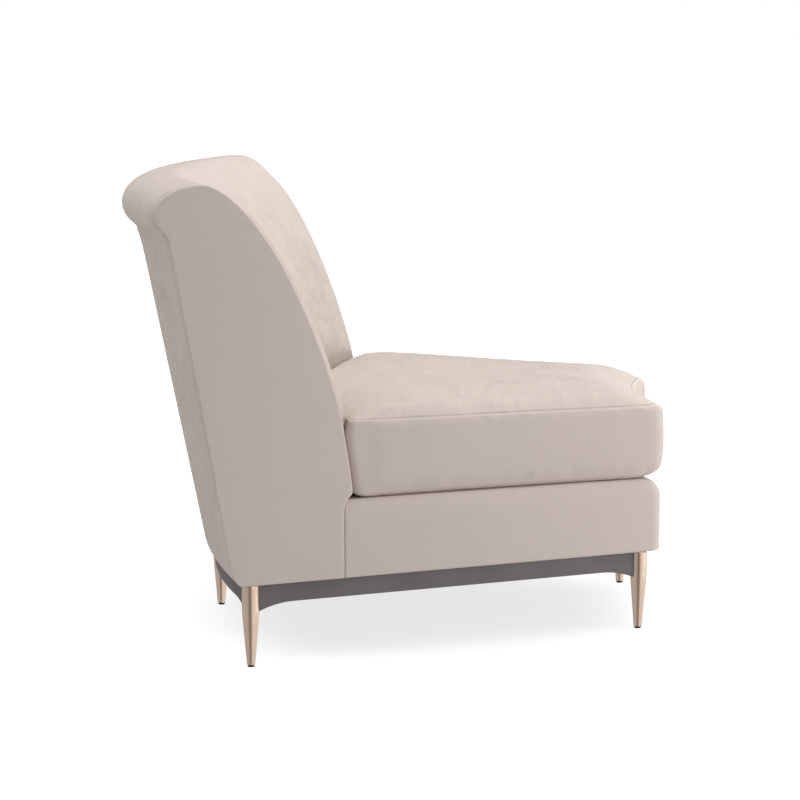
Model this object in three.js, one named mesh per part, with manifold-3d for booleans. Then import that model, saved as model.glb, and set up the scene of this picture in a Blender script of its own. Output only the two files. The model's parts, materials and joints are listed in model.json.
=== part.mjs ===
// A wedge-shaped slipper chair with a rolled-over back, a loose seat cushion and five metal legs.
// Millimetres, +Z up, the front towards -Y. The sitter's right side is -X.
// In plan the chair is a wedge of a ring. A radius is a distance from the ring's upright axis, which
// stands in front of the chair, and an inset is a distance inwards from the plane of the nearest side.
import * as THREE from "three";
import { mergeVertices } from "three/addons/utils/BufferGeometryUtils.js";
import Module from "manifold-3d";

const wasm = await Module();
wasm.setup();

// Plan
const halfAngle = THREE.MathUtils.degToRad(21.6);
const cushionFrontRadius = 511;
const cushionOverhang = 5; // beyond the base
const seatDepth = 631; // from the cushion's front to the lip, which is the foremost point of the back
const seamSetback = 16; // from the lip to the upright seam between the base and the side panels
const crestSetback = 275; // from the lip
const rollReach = 84; // from the crest
const footSetback = 206; // from the seam to the foot of the back
const frontLegSetback = 44; // from the base's front
const rearLegSetback = 32.5; // from the foot of the back
const legInset = 16;

// Elevation
const legHeight = 149.3;
const baseHeight = 142;
const deckSlope = 4; // the deck is this much lower at the front
const lipRise = 11;
const backRise = 557; // from the lip to the crest
const rollDrop = 52; // from the crest to the widest point of the roll
const rollUnderRadius = 31;
const backLean = THREE.MathUtils.degToRad(10.4);

// Clearances, paddings and boards that several pieces share
const gap = 0.3;
const facetSag = 0.5; // how far the facets of a curved piece lie inside its arc
const overrun = 5; // how far a cutting shape reaches past what it cuts
const sidePadding = 12;
const boardThickness = 22;
const frontRailThickness = 50; // the rails that the legs are bolted to
const rearRailThickness = 40;
const crossRailThickness = 25;
const dustThickness = 0.8;

// Radii and levels worked out from the values above
const baseFrontRadius = cushionFrontRadius + cushionOverhang;
const lipRadius = cushionFrontRadius + seatDepth;
const seamRadius = lipRadius + seamSetback;
const crestRadius = lipRadius + crestSetback;
const rollRearRadius = crestRadius + rollReach;
const backFootRadius = seamRadius + footSetback;
const frontLegRadius = baseFrontRadius + frontLegSetback;
const rearLegRadius = backFootRadius - rearLegSetback;
const upholsteryFoot = legHeight + gap;
const frameFoot = upholsteryFoot + dustThickness + gap;
const deckHeight = upholsteryFoot + baseHeight;
const lipHeight = deckHeight + lipRise;
const crestHeight = lipHeight + backRise;
const rollHeight = crestHeight - rollDrop;
const frameInset = sidePadding + gap;
const railInset = frameInset + boardThickness + gap;

const v2 = (x, y) => new THREE.Vector2(x, y);
const lerp = THREE.MathUtils.lerp;
const steps = (count) => Array.from({ length: count + 1 }, (_, i) => i / count);

// Seat cushion: its corners set the front of the chair, so they come before the plan's own frame
const cushionCorner = 24;
const rollCrown = 5;
const rearmost = rollRearRadius + rollCrown;
const cornerRadius = cushionFrontRadius + cushionCorner;
const cornerAngle = halfAngle - Math.asin(cushionCorner / cornerRadius);
const foremost = cornerRadius * Math.cos(cornerAngle) - cushionCorner;
const chairCentre = (rearmost + foremost) / 2;

// A point at a radius and a share of the wedge's width, from -1 at the right side to 1 at the left
function wedgePoint(radius, share, inset, z) {
  const angle = share * (halfAngle - Math.asin(inset / radius));
  return new THREE.Vector3(radius * Math.sin(angle), radius * Math.cos(angle) - chairCentre, z);
}

// A point beside the radial line at an angle
function radialPoint(radius, angle, across, z) {
  const x = radius * Math.sin(angle) + across * Math.cos(angle);
  const y = radius * Math.cos(angle) - across * Math.sin(angle);
  return new THREE.Vector3(x, y - chairCentre, z);
}

// A closed body through layers that follow each other towards the eye that sees their flat outlines
function loft(layers) {
  const clockwise = THREE.ShapeUtils.isClockWise(layers[0].outline);
  const rings = layers.map(({ outline }) => (clockwise ? [...outline].reverse() : outline));
  const count = rings[0].length;
  const positions = rings.flatMap((ring, i) => ring.flatMap((p) => layers[i].place(p).toArray()));
  const index = [];
  for (let i = 0; i < rings.length - 1; i++)
    for (let j = 0; j < count; j++) {
      const a = i * count + j;
      const b = i * count + ((j + 1) % count);
      index.push(a, b, b + count, a, b + count, a + count);
    }
  const last = (rings.length - 1) * count;
  for (const [a, b, c] of THREE.ShapeUtils.triangulateShape(rings[0], [])) index.push(c, b, a);
  for (const face of THREE.ShapeUtils.triangulateShape(rings.at(-1), []))
    index.push(...face.map((i) => last + i));
  const geometry = new THREE.BufferGeometry();
  geometry.setAttribute("position", new THREE.Float32BufferAttribute(positions, 3));
  geometry.setIndex(index);
  return geometry;
}

function solidOf(geometry) {
  const bare = new THREE.BufferGeometry();
  bare.setAttribute("position", geometry.getAttribute("position"));
  bare.setIndex(geometry.index);
  const merged = mergeVertices(bare);
  const mesh = new wasm.Mesh({
    numProp: 3,
    vertProperties: merged.attributes.position.array,
    triVerts: new Uint32Array(merged.index.array),
  });
  return new wasm.Manifold(mesh);
}

function geometryOf(solid) {
  const mesh = solid.getMesh();
  const geometry = new THREE.BufferGeometry();
  geometry.setAttribute("position", new THREE.BufferAttribute(mesh.vertProperties, mesh.numProp));
  geometry.setIndex(new THREE.BufferAttribute(mesh.triVerts, 1));
  return geometry;
}

function cut(geometry, ...tools) {
  return geometryOf(tools.reduce((solid, tool) => solid.subtract(solidOf(tool)), solidOf(geometry)));
}

// An upright cylinder, for legs' holes and clearances
function upright(centre, radius, low, high, sides) {
  const cylinder = new THREE.CylinderGeometry(radius, radius, high - low, sides);
  return cylinder.rotateX(Math.PI / 2).translate(centre.x, centre.y, (low + high) / 2);
}

// Outlines in the radial plane are lists of (radius, z). A curved piece follows the ring between
// two shares of the wedge; its section may change with the share.
function ringPiece(sectionAt, inset, count, from = -1, to = 1) {
  return ringPieceAt(sectionAt, inset, steps(count).map((t) => lerp(from, to, t)));
}
function ringPieceAt(sectionAt, inset, shares) {
  return loft(
    shares.map((share) => ({
      outline: sectionAt(share),
      place: (p) => wedgePoint(p.x, share, inset, p.y),
    })),
  );
}

// A flat piece parallel to a side, from layers of [inset, outline]. Side is -1 at the right.
function sidePiece(side, layers) {
  const ordered = side < 0 ? layers : [...layers].reverse();
  return loft(
    ordered.map(([inset, outline]) => ({ outline, place: (p) => wedgePoint(p.x, side, inset, p.y) })),
  );
}

// A flat piece in the radial plane at an angle
function radialPiece(outline, angle, width) {
  const faces = [-width / 2, width / 2];
  return loft(faces.map((across) => ({ outline, place: (p) => radialPoint(p.x, angle, across, p.y) })));
}

// The wedge seen from above, counter-clockwise, as flat points in x and y
const arcSteps = 8;
const cornerSteps = 3;
const flankSteps = 4;
function wedgeOutline({ front, rear, inset, corner = 0, rearCorner = 0, drawIn = 0 }) {
  const half = [];
  const turn = steps(corner > 0 ? cornerSteps : 0);
  const rearTurn = steps(rearCorner > 0 ? cornerSteps : 0);
  const quarter = Math.PI / 2;
  for (const t of steps(arcSteps / 2).slice(0, -1)) half.push([front, t, inset + corner]);
  for (const t of corner > 0 ? turn : [0])
    half.push([
      front + corner * (1 - Math.cos(t * quarter)),
      1,
      inset + corner * (1 - Math.sin(t * quarter)),
    ]);
  for (const t of steps(flankSteps).slice(1, -1))
    half.push([
      lerp(front + corner, rear - rearCorner, t),
      1,
      inset + drawIn * Math.sin(Math.PI * t),
    ]);
  for (const t of rearCorner > 0 ? rearTurn : [0])
    half.push([
      rear - rearCorner * (1 - Math.sin(t * quarter)),
      1,
      inset + rearCorner * (1 - Math.cos(t * quarter)),
    ]);
  for (const t of steps(arcSteps / 2).slice(1)) half.push([rear, 1 - t, inset + rearCorner]);
  const right = half.slice(1, -1).reverse();
  const points = [
    ...half.map(([radius, share, w]) => wedgePoint(radius, share, w, 0)),
    ...right.map(([radius, share, w]) => wedgePoint(radius, -share, w, 0)),
  ];
  return points.map((p) => v2(p.x, p.y));
}
const radiusOf = (p) => Math.hypot(p.x, p.y + chairCentre);

// Moves each point of a line along its normal. A positive distance goes to the right of the line's
// way; a closed line is a ring without its first point repeated.
function shifted(points, distanceAt, closed = false) {
  const count = points.length;
  const at = (i) => (closed ? points[(i + count) % count] : points[Math.min(Math.max(i, 0), count - 1)]);
  return points.map((p, i) => {
    const before = p.clone().sub(at(i - 1));
    const after = at(i + 1).clone().sub(p);
    if (before.lengthSq() === 0) before.copy(after);
    if (after.lengthSq() === 0) after.copy(before);
    const n1 = v2(before.y, -before.x).normalize();
    const n2 = v2(after.y, -after.x).normalize();
    const mitre = n1.clone().add(n2).divideScalar(1 + n1.dot(n2));
    return p.clone().addScaledVector(mitre, distanceAt(i));
  });
}

// The back's line up its front, over the crest and round the roll to the notch below it
const lipHandleOut = 12;
const lipHandleUp = 198;
const crestHandle = 107;
const frontSteps = 12;
const rollSteps = 7;
const underSteps = 5;
const rollUnderCentre = v2(rollRearRadius - rollUnderRadius, rollHeight);
const rearRadiusAt = (z) => backFootRadius + (z - upholsteryFoot) * Math.tan(backLean);
const underToRear = (rollUnderCentre.x - rearRadiusAt(rollHeight)) * Math.cos(backLean);
const notchAngle = backLean + Math.acos(-underToRear / rollUnderRadius);

const frontCurve = new THREE.CubicBezierCurve(
  v2(lipRadius, lipHeight),
  v2(lipRadius + lipHandleOut, lipHeight + lipHandleUp),
  v2(crestRadius - crestHandle, crestHeight),
  v2(crestRadius, crestHeight),
);
const rollCurve = new THREE.EllipseCurve(
  crestRadius,
  rollHeight,
  rollRearRadius - crestRadius,
  rollDrop,
  Math.PI / 2,
  0,
  true,
);
const underCurve = new THREE.EllipseCurve(
  rollUnderCentre.x,
  rollUnderCentre.y,
  rollUnderRadius,
  rollUnderRadius,
  0,
  -notchAngle,
  true,
);
const backLine = [
  ...frontCurve.getPoints(frontSteps),
  ...rollCurve.getPoints(rollSteps).slice(1),
  ...underCurve.getPoints(underSteps).slice(1),
];
const notch = backLine.at(-1);

// The padding's inner line: thick behind the sitter, thin over the crest and round the roll
const backPadding = 45;
const rollPadding = 20;
const paddingAt = (i) => lerp(backPadding, rollPadding, Math.min(i / frontSteps, 1));
const innerLine = (extra) => shifted(backLine, (i) => paddingAt(i) + extra);

// The radius of a rising line at a height, below its first point upright
function radiusAt(line, z) {
  const i = line.findIndex((p) => p.y >= z);
  if (i <= 0) return line[0].x;
  const t = (z - line[i - 1].y) / (line[i].y - line[i - 1].y);
  return lerp(line[i - 1].x, line[i].x, t);
}

// The back's foot is tucked in below its straight rear line. This is its line down to a level, at a
// distance inside the panels' outline.
const footTuck = 10;
const footTuckHeight = 24;
const tuckSteps = 4;
const footRadiusAt = (z) =>
  rearRadiusAt(z) - footTuck * Math.max(0, 1 - (z - upholsteryFoot) / footTuckHeight) ** 2;
const rearFoot = (inside, low) =>
  steps(tuckSteps).map((t) => {
    const z = lerp(upholsteryFoot + footTuckHeight, low, t);
    return v2(footRadiusAt(z) - inside, z);
  });

// Inside back pad, crowned between the side panels above the seat, and rolled over the top. The
// crown is fullest behind the sitter. It swells from the panels in a round edge, so the sections
// stand closer together there.
const backCrown = 12;
const crownStart = 150; // above the deck
const crownLength = 70;
const crownSettle = 70; // below the crest
const crownEdge = 24;
const padSteps = 24;
const padFoot = v2(lipRadius, deckHeight + gap);
function padSection(share) {
  const beside = Math.min(((1 - Math.abs(share)) * halfAngle * crestRadius) / crownEdge, 1);
  const fullness = Math.sqrt(1 - (1 - beside) ** 2);
  const crownAt = (i) => {
    if (i > frontSteps) return -rollCrown * fullness;
    const start = deckHeight + crownStart;
    const rise = THREE.MathUtils.smoothstep(backLine[i].y, start, start + crownLength);
    const settle = THREE.MathUtils.smoothstep(backLine[i].y, crestHeight - crownSettle, crestHeight);
    return -lerp(backCrown, rollCrown, settle) * fullness * rise;
  };
  const inner = innerLine(0);
  const innerFoot = v2(inner[0].x, padFoot.y);
  return [padFoot, ...shifted(backLine, crownAt), ...inner.reverse(), innerFoot];
}
const padShares = steps(padSteps).map((t) => Math.sin(lerp(-Math.PI / 2, Math.PI / 2, t)));
const insideBackPad = ringPieceAt(padSection, frameInset, padShares);

// Side panels: the back's whole outline in profile, with soft outer edges
const shoulderDrop = 20; // where the panel's seam leaves the base below the deck
const notchRound = 13;
const panelEdge = 5;
const panelEdgeSteps = 3;
const curveSteps = 4;
const shoulderCurve = new THREE.QuadraticBezierCurve(
  v2(seamRadius, deckHeight - shoulderDrop),
  v2(seamRadius, deckHeight),
  v2(lipRadius, lipHeight),
);
const notchCurve = new THREE.QuadraticBezierCurve(
  underCurve.getPoint(1 - notchRound / underCurve.getLength()),
  notch,
  v2(rearRadiusAt(notch.y - notchRound), notch.y - notchRound),
);
const panelOutline = [
  v2(seamRadius, upholsteryFoot),
  ...shoulderCurve.getPoints(curveSteps).slice(0, -1),
  ...backLine.slice(0, -1),
  ...notchCurve.getPoints(curveSteps).slice(1),
  ...rearFoot(0, upholsteryFoot),
];
function sidePanel(side) {
  const round = steps(panelEdgeSteps).map((t) => {
    const angle = (t * Math.PI) / 2;
    const inward = panelEdge * (1 - Math.sin(angle));
    return [panelEdge * (1 - Math.cos(angle)), shifted(panelOutline, () => inward, true)];
  });
  return sidePiece(side, [...round, [sidePadding, panelOutline]]);
}

// Outside back cover, from the upholstery's foot to just under the roll
const coverRecess = 2;
const coverThickness = 8;
const coverSteps = 16;
const frameRecess = coverRecess + coverThickness + gap + facetSag;
const coverTop = notch.y - rollCrown - gap;

// Between the side panels the back leans a little more, so its foot lies further in
const footHollow = 8.5;
const hollowPower = 4;
const hollowAt = (z, share) =>
  footHollow * (1 - (z - upholsteryFoot) / (coverTop - upholsteryFoot)) * (1 - Math.abs(share) ** hollowPower);
const hollowed = (points, share) => points.map((p) => v2(p.x - hollowAt(p.y, share), p.y));
const coverLevels = 5;
const coverLine = (inside) => [
  ...steps(coverLevels)
    .slice(0, -1)
    .map((t) => lerp(coverTop, upholsteryFoot + footTuckHeight, t))
    .map((z) => v2(rearRadiusAt(z) - inside, z)),
  ...rearFoot(inside, upholsteryFoot),
];
const outsideSection = [
  ...coverLine(coverRecess + coverThickness).reverse(),
  ...coverLine(coverRecess),
];
const outsideBackCover = ringPiece((share) => hollowed(outsideSection, share), frameInset, coverSteps);

// Base: the upholstered box under the cushion. Its cover is open below and behind; its deck and
// the cushion's underside lie on one plane that falls towards the front.
const frontPadding = 28; // deeper than the round of the front edge reaches under the deck
const deckThickness = 8;
const frameDrop = 30; // from the deck down to the top of the frame
const baseFrontRound = 34;
const baseSideRound = 9;
const baseFootRound = 7;
const baseFootSideRound = 5;
const baseCorner = 22;
const roundSteps = 4;
const frameTop = deckHeight - frameDrop;
const cavityTop = deckHeight - deckThickness;
const depthShare = (p) => (p.y + chairCentre - baseFrontRadius) / (seamRadius - baseFrontRadius);
const deckAt = (p) => deckHeight - deckSlope * (1 - depthShare(p));

// A body between two levels with one wedge outline
function wedgePrism(plan, low, high) {
  const outline = wedgeOutline(plan);
  return loft([low, high].map((z) => ({ outline, place: (p) => new THREE.Vector3(p.x, p.y, z) })));
}

function baseCover() {
  const rear = seamRadius - gap;
  const layer = (frontInset, inset, heightAt) => ({
    outline: wedgeOutline({ front: baseFrontRadius + frontInset, rear, inset, corner: baseCorner }),
    place: (p) => new THREE.Vector3(p.x, p.y, heightAt(p)),
  });
  const foot = steps(roundSteps).map((t) => {
    const away = 1 - Math.sin((t * Math.PI) / 2);
    const rise = baseFootRound * (1 - Math.cos((t * Math.PI) / 2));
    return layer(baseFootRound * away, baseFootSideRound * away, () => upholsteryFoot + rise);
  });
  const top = steps(roundSteps).map((t) => {
    const away = 1 - Math.cos((t * Math.PI) / 2);
    const fall = baseFrontRound * (1 - Math.sin((t * Math.PI) / 2));
    return layer(baseFrontRound * away, baseSideRound * away, (p) => deckAt(p) - fall);
  });
  const cavity = wedgePrism(
    { front: baseFrontRadius + frontPadding, rear: seamRadius + overrun, inset: sidePadding },
    upholsteryFoot - overrun,
    cavityTop,
  );
  const besidePanel = shifted(panelOutline, () => -gap, true);
  const panelRoom = [-1, 1].map((side) =>
    sidePiece(side, [
      [-overrun, besidePanel],
      [sidePadding, besidePanel],
    ]),
  );
  return cut(loft([...foot, ...top]), cavity, ...panelRoom);
}

// Legs: straight above the knee and tapered below it, each with a glide under it and a hanger bolt
const legRadius = 15.5;
const legFootRadius = 7.5;
const kneeHeight = 100;
const kneeRound = 3;
const legTopChamfer = 1;
const glideHeight = 3.5;
const glideRadius = 6.6;
const glideChamfer = 0.8;
const nailRadius = 2;
const nailLength = 12;
const boltRadius = 4;
const boltDepth = 26; // into the leg
const boltReach = 42; // above the leg
const boltChamfer = 1;
const legSides = 24;
const glideSides = 16;
const boltSides = 10;

const revolved = (profile, sides) =>
  new THREE.LatheGeometry(
    profile.map(([radius, z]) => v2(radius, z)),
    sides,
  ).rotateX(Math.PI / 2);

const legFoot = glideHeight + gap;
const nailTop = glideHeight + nailLength;
const legProfile = [
  [0, nailTop + gap],
  [nailRadius + gap, nailTop + gap],
  [nailRadius + gap, legFoot],
  [legFootRadius, legFoot],
  [lerp(legRadius, legFootRadius, kneeRound / kneeHeight), kneeHeight - kneeRound],
  [legRadius, kneeHeight + kneeRound],
  [legRadius, legHeight - legTopChamfer],
  [legRadius - legTopChamfer, legHeight],
  [boltRadius + gap, legHeight],
  [boltRadius + gap, legHeight - boltDepth],
  [0, legHeight - boltDepth],
];
const glideProfile = [
  [0, 0],
  [glideRadius - glideChamfer, 0],
  [glideRadius, glideChamfer],
  [glideRadius, glideHeight],
  [nailRadius, glideHeight],
  [nailRadius, nailTop],
  [0, nailTop],
];
const boltProfile = [
  [0, legHeight - boltDepth + gap],
  [boltRadius, legHeight - boltDepth + gap],
  [boltRadius, legHeight + boltReach - boltChamfer],
  [boltRadius - boltChamfer, legHeight + boltReach],
  [0, legHeight + boltReach],
];
const legPlaces = {
  rear_right: wedgePoint(rearLegRadius, -1, legInset, 0),
  rear_left: wedgePoint(rearLegRadius, 1, legInset, 0),
  rear_center: wedgePoint(rearLegRadius, 0, 0, 0),
  front_right: wedgePoint(frontLegRadius, -1, legInset, 0),
  front_left: wedgePoint(frontLegRadius, 1, legInset, 0),
};
const legRooms = Object.values(legPlaces).map((centre) =>
  upright(centre, legRadius + gap, 0, legHeight + overrun, legSides),
);
const boltRooms = Object.values(legPlaces).map((centre) =>
  upright(centre, boltRadius + gap, legHeight, legHeight + boltReach + gap, boltSides),
);

// Apron boards centred on the legs, with a bracket curve down to each leg and coped round it
const apronHeight = 32;
const apronThickness = 14;
const bracketDrop = 20;
const bracketLength = 78;
const bracketSteps = 6;
const apronSteps = 12;
const apronFoot = legHeight - apronHeight;
const footBeside = (distance) =>
  apronFoot - bracketDrop * Math.max(0, 1 - Math.abs(distance) / bracketLength) ** 2;

function sideApron(side) {
  const reach = steps(bracketSteps).map((t) => t * bracketLength);
  const outline = [
    v2(frontLegRadius, legHeight),
    ...reach.map((d) => v2(frontLegRadius + d, footBeside(d))),
    ...[...reach].reverse().map((d) => v2(rearLegRadius - d, footBeside(d))),
    v2(rearLegRadius, legHeight),
  ];
  const faces = [legInset - apronThickness / 2, legInset + apronThickness / 2];
  return cut(sidePiece(side, faces.map((inset) => [inset, outline])), ...legRooms);
}

// A curved board between legs at two shares of the wedge
function curvedApron(radius, from, to) {
  const legAngle = halfAngle - Math.asin(legInset / radius);
  const section = (share) => {
    const distance = Math.min(Math.abs(share - from), Math.abs(to - share)) * legAngle * radius;
    const foot = footBeside(distance);
    const inner = radius - apronThickness / 2;
    const outer = radius + apronThickness / 2;
    return [v2(inner, foot), v2(outer, foot), v2(outer, legHeight), v2(inner, legHeight)];
  };
  return cut(ringPiece(section, legInset, apronSteps, from, to), ...legRooms);
}

// Frame: two L-shaped plywood sides joined by rails, each rail curved like the wedge
const railSteps = 16;
const rearRailRise = 28; // above the frame's top
const seatRailSetback = 8;
const seatRailHeight = 62;
const rearRailTop = frameTop + rearRailRise;
const frontRailRadius = baseFrontRadius + frontPadding + gap;
const frontRailRear = frontRailRadius + frontRailThickness;
const rearRailRadius = rearRadiusAt(frameFoot) - frameRecess - rearRailThickness;
const rearRailSection = (share) => [
  v2(rearRailRadius, rearRailTop),
  v2(rearRailRadius, frameFoot),
  ...hollowed(
    [...rearFoot(frameRecess, frameFoot).reverse(), v2(rearRadiusAt(rearRailTop) - frameRecess, rearRailTop)],
    share,
  ),
];
const seatRailRadius = seamRadius + seatRailSetback;
const block = (inner, outer, low, high) => [
  v2(inner, low),
  v2(outer, low),
  v2(outer, high),
  v2(inner, high),
];
const rail = (section, inset = railInset) => ringPiece(() => section, inset, railSteps);

const frontRail = cut(
  rail(block(frontRailRadius, frontRailRear, frameFoot, frameTop), frameInset),
  ...boltRooms,
);
const rearRail = cut(ringPiece(rearRailSection, frameInset, railSteps), ...boltRooms);
const seatRail = rail(
  block(seatRailRadius, seatRailRadius + crossRailThickness, frameTop - seatRailHeight, frameTop),
);

// Scroll rail: the core of the roll, lapped by the outside cover
const scrollLap = 20;
const scrollFoot = coverTop - scrollLap;
const supportLine = innerLine(gap + facetSag);
const supportAt = (z) => v2(radiusAt(supportLine, z), z);
const scrollSection = [
  supportAt(scrollFoot),
  ...supportLine.filter((p, i) => i > frontSteps || p.y > scrollFoot),
  v2(rearRadiusAt(scrollFoot) - frameRecess - hollowAt(scrollFoot, 0), scrollFoot),
];

function sideFrame(side) {
  const innerShare = 1 - railInset / (halfAngle * rearRadiusAt(upholsteryFoot));
  const rearOf = (z) => v2(rearRadiusAt(z) - frameRecess - hollowAt(z, innerShare), z);
  const notchRadius = rearRailRadius - facetSag - gap;
  const outline = [
    v2(frontRailRear + gap, frameFoot),
    v2(frontRailRear + gap, frameTop),
    v2(supportLine[0].x, frameTop),
    ...supportLine,
    rearOf(coverTop),
    rearOf(rearRailTop + gap),
    v2(notchRadius, rearRailTop + gap),
    v2(notchRadius, frameFoot),
  ];
  return sidePiece(side, [
    [frameInset, outline],
    [frameInset + boardThickness, outline],
  ]);
}

// Webbing up the inside of the back, with two cross rails and a centre rib behind it
const strapThickness = 1.5;
const strapSeat = 0.5;
const strapWidth = 50;
const strapCount = 5;
const strapSpreadShare = 0.74;
const lowerRailRise = 5; // above the deck
const crossRailHeight = 60;
const middleRailRise = 225; // above the lower rail's foot
const lowerRailFoot = deckHeight + lowerRailRise;
const middleRailFoot = lowerRailFoot + middleRailRise;
const crossRailFace = strapThickness + strapSeat + facetSag;
const ribFace = crossRailFace + crossRailThickness + gap;

// The support line from one level to another, moved rearwards
const supportBetween = (low, high, rearwards) => {
  const between = supportLine.filter((p) => p.y > low && p.y < high);
  return [supportAt(low), ...between, supportAt(high)].map((p) => v2(p.x + rearwards, p.y));
};
const supportBand = (low, high, near, far) => [
  ...supportBetween(low, high, near),
  ...supportBetween(low, high, far).reverse(),
];
const crossRail = (low) =>
  rail(supportBand(low, low + crossRailHeight, crossRailFace, crossRailFace + crossRailThickness));
const ribFoot = rearRailTop + gap;
const ribTop = scrollFoot - gap;
const ribOutline = [
  ...supportBetween(ribFoot, ribTop, ribFace),
  ...hollowed([ribTop, ribFoot].map((z) => v2(rearRadiusAt(z) - frameRecess, z)), 0),
];
const strapOutline = supportBand(lowerRailFoot, scrollFoot - gap, 0, strapThickness);

// Corner blocks that brace the rails against the sides
const blockLeg = 60;
const blockHeight = 70;
const blockSteps = 3;
function cornerBlock(side, nearRadius, farRadius) {
  const along = steps(blockSteps).map((t) => wedgePoint(nearRadius, side, railInset + t * blockLeg, 0));
  const corner = wedgePoint(farRadius, side, railInset, 0);
  const outline = [...along, corner].map((p) => v2(p.x, p.y));
  const clockwise = THREE.ShapeUtils.isClockWise(outline);
  const levels = [frameTop - blockHeight, frameTop];
  return loft(
    levels.map((z) => ({
      outline: clockwise ? [...outline].reverse() : outline,
      place: (p) => new THREE.Vector3(p.x, p.y, z),
    })),
  );
}

// Sinuous springs from the front rail to the seat's rear rail, and the pad between them and the deck
const wireRadius = 1.9;
const springCount = 5;
const springSpreadShare = 0.66;
const springSwing = 17;
const springBends = 14;
const springEndLap = 14; // onto each rail
const stepsPerBend = 4;
const wireSides = 5;
const springLevel = frameTop + gap + wireRadius;

function seatSpring(angle) {
  const start = frontRailRear - springEndLap;
  const end = seatRailRadius + springEndLap;
  const count = springBends * stepsPerBend;
  const path = new THREE.CatmullRomCurve3(
    steps(count).map((t) => {
      const swing = springSwing * Math.sin(Math.PI * springBends * t);
      return radialPoint(lerp(start, end, t), angle, swing, springLevel);
    }),
  );
  const circle = steps(wireSides).slice(1);
  const section = new THREE.Shape(
    circle.map((t) => v2(Math.cos(2 * Math.PI * t), Math.sin(2 * Math.PI * t)).multiplyScalar(wireRadius)),
  );
  return new THREE.ExtrudeGeometry(section, { steps: count, extrudePath: path });
}
const deckPad = wedgePrism(
  { front: frontRailRadius, rear: seamRadius - gap, inset: frameInset },
  springLevel + wireRadius + gap,
  cavityTop - gap,
);

// Dust cover under the rails, pierced by the leg bolts
const dustCover = cut(
  wedgePrism(
    { front: frontRailRadius, rear: rearLegRadius - legRadius, inset: frameInset },
    upholsteryFoot,
    upholsteryFoot + dustThickness,
  ),
  ...boltRooms,
);

// Seat cushion: rounded edges above and below the border, sides drawn in between the corners, and a
// crowned top. The wall is how far inside the cover's outside the body lies.
const borderHeight = 145.5;
const borderTaper = 3; // the border is this much lower at the front
const cushionFootRound = 28;
const cushionEdgeRound = 24;
const edgeLift = 20; // from the top seam to the flat of the edge
const frontLift = 5; // the same at the front
const frontEase = 100; // the edge's flat falls towards the front within this
const cushionCrown = 10;
const crownReach = 160;
const cushionDrawIn = 3;
const cushionBelly = 1.5;
const cushionRearGap = 2;
const cushionRearCorner = 16;
const restInset = 60;
const crownSteps = 4;
const coverWall = 2.5;
const liftAt = (p) => {
  const behind = THREE.MathUtils.smoothstep(radiusOf(p) - cushionFrontRadius, 0, frontEase);
  return lerp(frontLift, edgeLift, behind);
};
const edgeAt = (p) => deckAt(p) + borderHeight + liftAt(p) - borderTaper * (1 - depthShare(p));
const cushionRearAt = (z) => radiusAt(backLine, z) - cushionRearGap;

function cushionBody(wall) {
  const edgeHeight = deckHeight + borderHeight + edgeLift - wall;
  const floor = deckHeight + gap + wall;
  const layer = (inset, rearHeight, heightAt) => ({
    outline: wedgeOutline({
      front: cushionFrontRadius + wall + inset,
      rear: cushionRearAt(rearHeight) - wall - inset,
      inset: wall + inset,
      corner: cushionCorner,
      rearCorner: cushionRearCorner,
      drawIn: cushionDrawIn,
    }),
    place: (p) => new THREE.Vector3(p.x, p.y, heightAt(p)),
  });
  const rise = (inset, up) => layer(inset, floor + up, (p) => deckAt(p) + gap + wall + up);
  const hang = (inset, down) => layer(inset, edgeHeight - down, (p) => edgeAt(p) - wall - down);
  const turns = steps(roundSteps).map((t) => [Math.sin((t * Math.PI) / 2), Math.cos((t * Math.PI) / 2)]);
  const foot = turns.map(([sin, cos]) =>
    rise(cushionBelly + cushionFootRound * (1 - sin), cushionFootRound * (1 - cos)),
  );
  const edge = turns.map(([sin, cos]) =>
    hang(cushionBelly + cushionEdgeRound * (1 - cos), cushionEdgeRound * (1 - sin)),
  );
  const crown = steps(crownSteps)
    .slice(1)
    .map((t) =>
      hang(lerp(cushionEdgeRound, crownReach, t), -cushionCrown * Math.sin((t * Math.PI) / 2)),
    );
  const belly = rise(0, borderHeight / 2);
  return loft([rise(restInset, 0), ...foot, belly, ...edge, ...crown]);
}

// The zip lies in a slot in the rear of the border
const zipHeight = 12;
const zipThickness = 2;
const zipShare = 0.499;
const slotShare = 0.5;
const zipSteps = 4;
const zipLevel = deckHeight + borderHeight / 2;
function zipBand(outer, inner, height, share) {
  const low = zipLevel - height / 2;
  const high = zipLevel + height / 2;
  const section = [
    v2(cushionRearAt(low) - inner, low),
    v2(cushionRearAt(low) - outer, low),
    v2(cushionRearAt(high) - outer, high),
    v2(cushionRearAt(high) - inner, high),
  ];
  return ringPiece(() => section, cushionRearCorner, zipSteps, -share, share);
}
const slot = zipBand(-overrun, coverWall + overrun, zipHeight + gap + gap, slotShare);
const cushionCover = cut(cushionBody(0), cushionBody(coverWall), slot);
const cushionFoam = cushionBody(coverWall + gap);
const cushionZip = zipBand(gap, gap + zipThickness, zipHeight, zipShare);

const finish = (color, roughness, metalness = 0) =>
  new THREE.MeshStandardMaterial({ color, roughness, metalness });
const seatFabric = finish(0xddd0c6, 0.9);
const panelFabric = finish(0xc2b8b0, 0.85);
const apronPaint = finish(0x655c60, 0.5);
const legMetal = finish(0xb89a80, 0.35, 1);
const glidePlastic = finish(0x1c1a19, 0.6);
const plywood = finish(0xcaa877, 0.8);
const hardwood = finish(0xb08a5c, 0.8);
const steel = finish(0x8d8f92, 0.4, 1);
const foam = finish(0xf0e6c8, 1);
const felt = finish(0x9a9488, 1);
const webbing = finish(0x2b2a2c, 0.9);
const dustCloth = finish(0x1f1f20, 1);

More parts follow.
